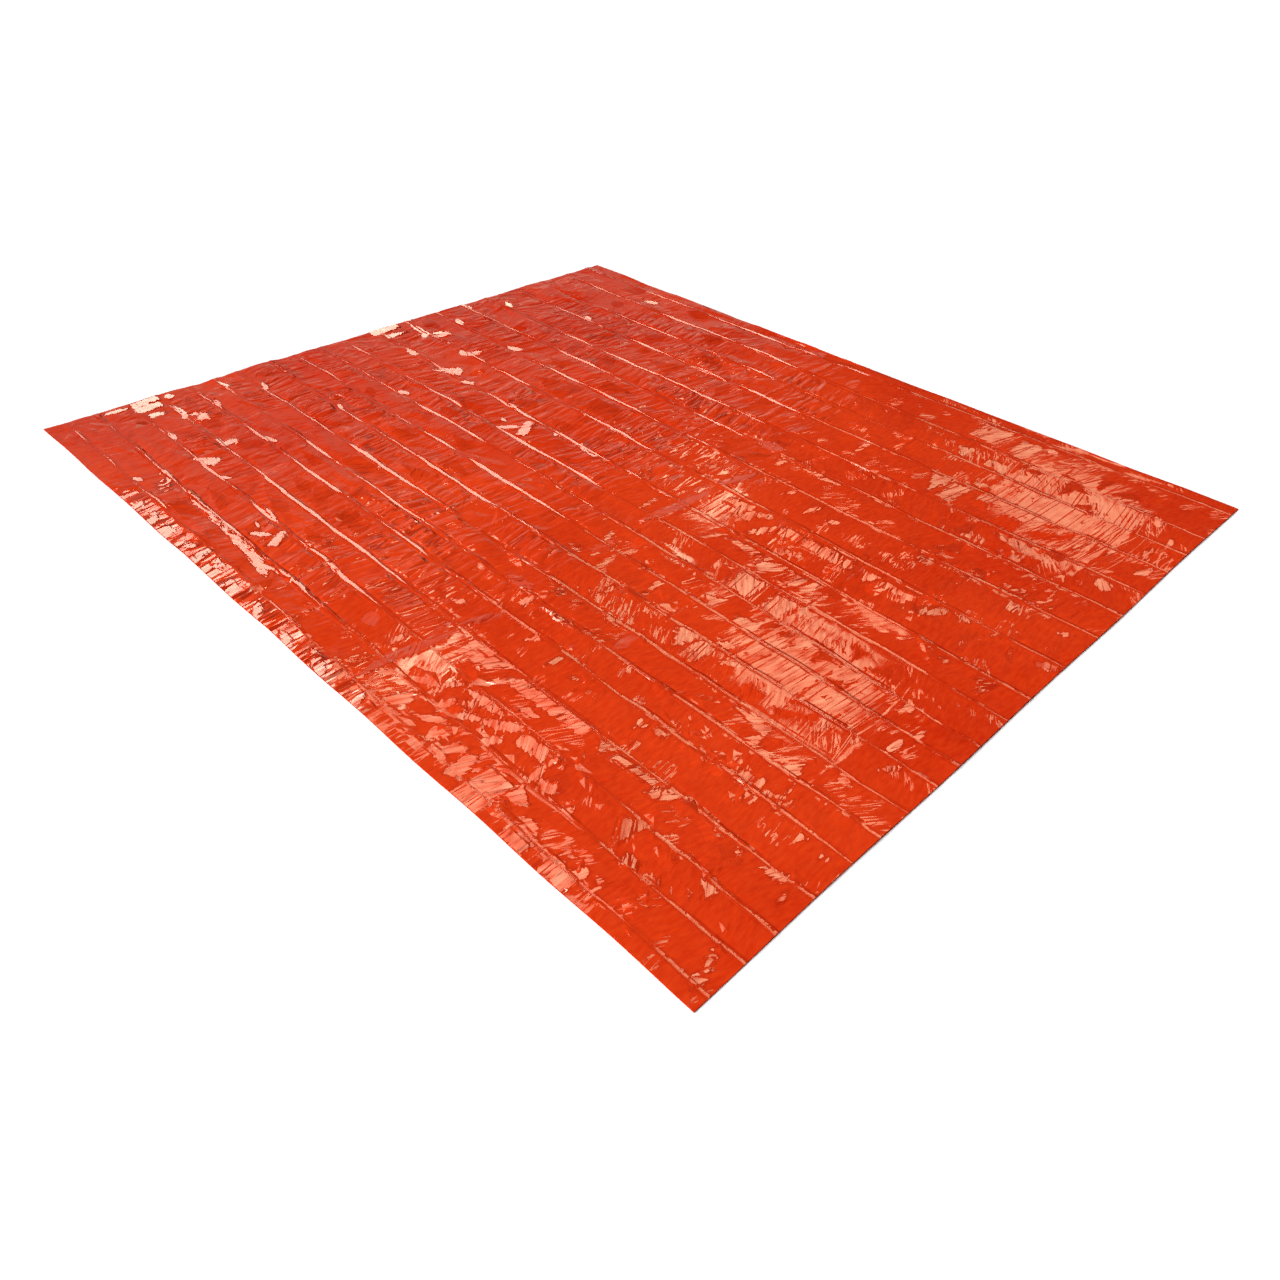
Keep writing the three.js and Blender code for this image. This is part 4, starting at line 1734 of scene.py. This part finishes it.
    def _shift(self) -> None:
        """Moves the grid's points about in the sheet's plane, so that its facets come out uneven."""
        for step, share in self.crumples.shifts:
            across = self.across[::step, ::step]
            along = self.along[::step, ::step]
            draws = self.rng.uniform(-share, share, (2, *across.shape))
            gap_across = np.minimum(np.diff(across, axis=1)[:, 1:], np.diff(across, axis=1)[:, :-1])
            gap_along = np.minimum(np.diff(along, axis=0)[1:], np.diff(along, axis=0)[:-1])
            draws[0, :, 1:-1] *= gap_across
            draws[1, 1:-1] *= gap_along
            fixed = (self.step_share == 0.0) | ~self.on_panel
            draws[0, :, fixed[::step]] = 0.0
            draws[0, :, [0, -1]] = 0.0
            draws[1, [0, -1]] = 0.0
            self.across = self.across + self._between_points(step, draws[0])
            self.along = self.along + self._between_points(step, draws[1])

    def _crumpled(self) -> Array:
        """How crumpled the film is at each point of the grid, from 0 to 1."""
        return self._zones(CRUMPLED) * (1.0 - self._zones(CALM))

    def _facets(self) -> Array:
        """Height of the crumples: flat triangles between scattered raised points, large ones and small ones.

        Returns:
            A height for each point of the grid.
        """
        form = self.crumples
        share = self._crumpled()
        beside = form.beside_folds * np.exp(-np.abs(self.aside) / form.fold_reach)
        share = share * np.clip(form.spread * share + beside, 0.0, form.most)
        share = share * (self.depth < -form.flap_clearance)
        patches = self.rng.uniform(-1.0, 1.0, share[:: self.coarse, :: self.coarse].shape)
        patches *= form.patch_rise * self._zones(PATCHED)[:: self.coarse, :: self.coarse]
        height = self._between_points(self.coarse, patches)
        for step, rise in form.rises:
            chance = self.rng.random(share[::step, ::step].shape)
            raised = np.where(chance < share[::step, ::step], self.rng.random(chance.shape), 0.0)
            height += self._between_points(step, rise * raised)
        return height

    def build(self) -> bpy.types.Object:
        """Makes the sheet's mesh: the fine upper side, the coarser underside and a rim that joins them.

        Returns:
            The sheet's object.
        """
        folds = self._ridges() + self._lifts()
        flaps = self._flaps()
        top = np.maximum(folds, self._cross_ridges()) + self._panels() + self._facets() + flaps
        upper = self._points(top - top.min() + self.film)
        under = self._points(np.clip(folds - self.under_clearance, 0.0, None))
        points, faces = self._closed(upper, under[:: self.coarse, :: self.coarse])
        mesh = bpy.data.meshes.new("film_sheet_laid_out")
        mesh.from_pydata(points.tolist(), [], faces)
        mesh.validate()
        mesh.polygons.foreach_set("use_smooth", np.ones(len(mesh.polygons), dtype=bool))
        mesh.update()
        mesh.set_sharp_from_angle(angle=self.sharp_angle)
        for name, values in self._kept().items():
            padded = np.zeros(len(mesh.vertices))
            padded[: values.size] = values.ravel()
            mesh.attributes.new(name, "FLOAT", "POINT").data.foreach_set("value", padded)
        sheet = bpy.data.objects.new("film_sheet_laid_out", mesh)
        bpy.context.scene.collection.objects.link(sheet)
        return sheet

    def _kept(self) -> dict[str, Array]:
        """Values that the mesh keeps for the finish.

        Returns:
            Under each name, a value for each point of the upper side.
        """
        form = self.looks
        uneven = form.wrinkle + self._strays(len(LONG_FOLDS) + 1, form.wrinkle_sway).T[:, self.panel]
        wrinkle = self._zones(WRINKLED) * np.clip(uneven, 0.0, form.wrinkle_most)
        wrinkle = wrinkle * (self.step_share * self.on_panel > 0.0)
        # Painted shade beside the folds, stronger in the clear zones and fainter in the faint ones.
        shade = self.shade * (form.shade.at(self.along) + form.shade_clear * self._zones(CLEAR))
        clear = np.clip(-self.depth / self.crumples.flap_clearance, 0.0, 1.0)
        return {
            "crumple": self._crumpled() * clear,
            "wrinkle": wrinkle * (1.0 - form.wrinkle_calm * self._zones(CALM)),
            "pucker": self._zones(PUCKERED),
            "shade": shade * (1.0 - form.shade_faint * self._zones(FAINT)),
            "aside": self.aside,
            "rim": self.rim,
            "depth": self.depth,
            "lean_across": self.lean_across,
            "lean_along": self.lean_along,
            "fray": self.fray,
            "streak": self._zones(STREAKED),
            "gleam": self.gleam,
            "firm": form.firm.at(self.along),
            "lined": self._zones(LINED),
            "panel": np.broadcast_to(self.panel_tag, self.across.shape),
        }

    def _points(self, height: Array) -> Array:
        """Points of the grid in the object's frame, centred on the sheet, at the given heights."""
        return np.stack([self.across - self.width / 2, self.along - self.length / 2, height], axis=-1)

    def _closed(self, upper: Array, under: Array) -> tuple[Array, list[list[int]]]:
        """Joins the fine upper grid and the coarse lower one into a closed sheet.

        Args:
            upper: Points of the upper side.
            under: Points of the underside, one for each coarse step.

        Returns:
            All points, and the faces as lists of point numbers.
        """
        fine = np.arange(upper.shape[0] * upper.shape[1]).reshape(upper.shape[:2])
        rough = fine.size + np.arange(under.shape[0] * under.shape[1]).reshape(under.shape[:2])
        tops = self._triangles(fine)
        lows = np.stack([rough[:-1, :-1], rough[1:, :-1], rough[1:, 1:], rough[:-1, 1:]], axis=-1)
        rims = [
            self._rim(rough[0], fine[0]),
            self._rim(rough[::-1, 0], fine[::-1, 0]),
            self._rim(rough[-1, ::-1], fine[-1, ::-1]),
            self._rim(rough[:, -1], fine[:, -1]),
        ]
        faces = tops.tolist() + lows.reshape(-1, 4).tolist() + np.concatenate(rims).tolist()
        return np.concatenate([upper.reshape(-1, 3), under.reshape(-1, 3)]), faces

    def _triangles(self, fine: Indices) -> Indices:
        """Triangles of the upper side: each small square is cut on the slant of the coarse cell around it.

        Args:
            fine: Point numbers of the upper grid.

        Returns:
            One row of point numbers for each triangle.
        """
        v00, v10, v01, v11 = fine[:-1, :-1], fine[:-1, 1:], fine[1:, :-1], fine[1:, 1:]
        slant = np.repeat(np.repeat(self.slant, self.coarse, axis=0), self.coarse, axis=1)[..., None]
        first = np.where(slant, np.stack([v00, v10, v11], axis=-1), np.stack([v00, v10, v01], axis=-1))
        second = np.where(slant, np.stack([v00, v11, v01], axis=-1), np.stack([v10, v11, v01], axis=-1))
        return np.concatenate([first.reshape(-1, 3), second.reshape(-1, 3)])

    def _rim(self, low: Indices, high: Indices) -> Indices:
        """Faces of one side of the rim: each joins a coarse step below to its fine steps above.

        Args:
            low: Point numbers along the underside's edge.
            high: Point numbers along the upper side's edge, in the same direction.

        Returns:
            One row of point numbers for each face.
        """
        start = np.arange(len(low) - 1) * self.coarse
        above = high[start[:, None] + np.arange(self.coarse, -1, -1)]
        return np.concatenate([low[:-1, None], low[1:, None], above], axis=1)

    def dress(self, sheet: bpy.types.Object) -> None:
        """Gives the sheet its film finish, hangs it on the root body and hides the imported film part.

        Args:
            sheet: The sheet's object.
        """
        sheet.data.materials.append(self.finish.build())
        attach(sheet, "root")
        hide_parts(FILM_NODE)


@dataclass
class Studio:
    """A pale floor in a dim room: softboxes, a bright window, dim panels past both ends, even light."""

    floor_size: float = 240.0
    floor_colour: Colour = (0.93, 0.93, 0.93, 1.0)
    floor_roughness: float = 0.9
    room: Colour = (0.02, 0.02, 0.02, 1.0)
    fill_place: Triple = (-1.9, -0.9, 0.9)
    fill_size: tuple[float, float] = (0.8, 0.8)
    fill_glow: float = 0.9
    sun_from: Triple = (-0.7, 0.4, 0.9)
    sun_angle: float = math.radians(50.0)
    sun_strength: float = 4.7

    def build(self) -> None:
        """Makes the floor, the lamps and the room's faint light."""
        self._floor()
        for box in SOFTBOXES:
            lamp = self._lamp(box.name, box.size, box.glow, box.colour)
            lamp.location = box.place
            lamp.data.shape = box.shape.value
        for pane in WINDOWS:
            self._window(pane)
        for pane in PANELS:
            panel = self._lamp(pane.name, pane.size, pane.glow, CREAM)
            panel.location = pane.place
            panel.rotation_euler = (math.radians(pane.turn), 0.0, 0.0)
        self._sun()
        self._fill()
        world = bpy.data.worlds.new("dim_room")
        bpy.context.scene.world = world
        world.use_nodes = True
        world.node_tree.nodes["Background"].inputs["Color"].default_value = self.room

    def _floor(self) -> None:
        """Makes the plain pale floor."""
        half = self.floor_size / 2
        mesh = bpy.data.meshes.new("floor")
        corners = [(-half, -half, 0.0), (half, -half, 0.0), (half, half, 0.0), (-half, half, 0.0)]
        mesh.from_pydata(corners, [], [(0, 1, 2, 3)])
        floor = bpy.data.objects.new("floor", mesh)
        bpy.context.scene.collection.objects.link(floor)
        material = bpy.data.materials.new("pale_floor")
        material.use_nodes = True
        shader = material.node_tree.nodes["Principled BSDF"]
        shader.inputs["Base Color"].default_value = self.floor_colour
        shader.inputs["Roughness"].default_value = self.floor_roughness
        shader.inputs["Specular IOR Level"].default_value = 0.0
        mesh.materials.append(material)
        floor.visible_glossy = False

    @staticmethod
    def _lamp(name: str, size: tuple[float, float], glow: float, colour: Triple) -> bpy.types.Object:
        """Makes one rectangular lamp that faces down and shows only in gloss.

        Args:
            name: Its name.
            size: Its two sides.
            glow: Its brightness, where a white floor in full light has 1.
            colour: Its colour.

        Returns:
            The lamp.
        """
        light = bpy.data.lights.new(name, "AREA")
        light.shape = LampShape.RECTANGLE.value
        light.size, light.size_y = size
        light.energy = glow * math.pi * size[0] * size[1]
        light.color = colour
        lamp = bpy.data.objects.new(name, light)
        lamp.visible_diffuse = False
        lamp.visible_camera = False
        bpy.context.scene.collection.objects.link(lamp)
        return lamp

    def _window(self, pane: Window) -> None:
        """Makes one distant pane.

        Args:
            pane: The pane.
        """
        wide, high = (2.0 * WINDOW_DISTANCE * math.tan(math.radians(span) / 2) for span in pane.span)
        lamp = self._lamp(pane.name, (wide, high), pane.glow, CREAM)
        lamp.location = pane.place()
        lamp.rotation_euler = pane.place().to_track_quat("Z", "Y").to_euler()

    def _sun(self) -> None:
        """Makes the even soft light, which shows in no gloss."""
        light = bpy.data.lights.new("soft_light", "SUN")
        light.energy = self.sun_strength
        light.angle = self.sun_angle
        lamp = bpy.data.objects.new("soft_light", light)
        lamp.rotation_euler = Vector(self.sun_from).to_track_quat("Z", "Y").to_euler()
        lamp.visible_glossy = False
        bpy.context.scene.collection.objects.link(lamp)

    def _fill(self) -> None:
        """Makes a soft light low at the left, which shows in no gloss."""
        fill = self._lamp("fill", self.fill_size, self.fill_glow, WHITE)
        fill.location = self.fill_place
        fill.rotation_euler = Vector(self.fill_place).to_track_quat("Z", "Y").to_euler()
        fill.visible_diffuse = True
        fill.visible_glossy = False


@dataclass
class PhotoCamera:
    """The photograph's camera: where it stands, where on the floor it looks, its roll and its lens."""

    eye: Vector = field(default_factory=PHOTO_EYE.copy)
    target: Triple = (-0.4222, -0.4806, 0.0)
    roll: float = math.radians(2.035)
    lens: float = 28.709

    def build(self) -> None:
        """Makes the camera and gives it to the scene."""
        data = bpy.data.cameras.new("photo_camera")
        data.lens = self.lens
        camera = bpy.data.objects.new("photo_camera", data)
        aim = (Vector(self.target) - self.eye).to_track_quat("-Z", "Y").to_matrix().to_4x4()
        camera.matrix_world = Matrix.Translation(self.eye) @ aim @ Matrix.Rotation(self.roll, 4, "Z")
        bpy.context.scene.collection.objects.link(camera)
        bpy.context.scene.camera = camera


def main() -> None:
    """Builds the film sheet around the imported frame, then the studio and the camera."""
    logging.basicConfig(level=logging.INFO, format="%(message)s")
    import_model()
    low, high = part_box(FILM_NODE)
    bpy.context.scene.view_settings.view_transform = "Standard"
    PhotoCamera().build()
    film = FilmSheet(width=high.x - low.x, length=high.y - low.y)
    sheet = film.build()
    film.dress(sheet)
    LOG.info("%s: %d faces", sheet.name, len(sheet.data.polygons))
    Studio().build()


if __name__ == "__main__":
    main()
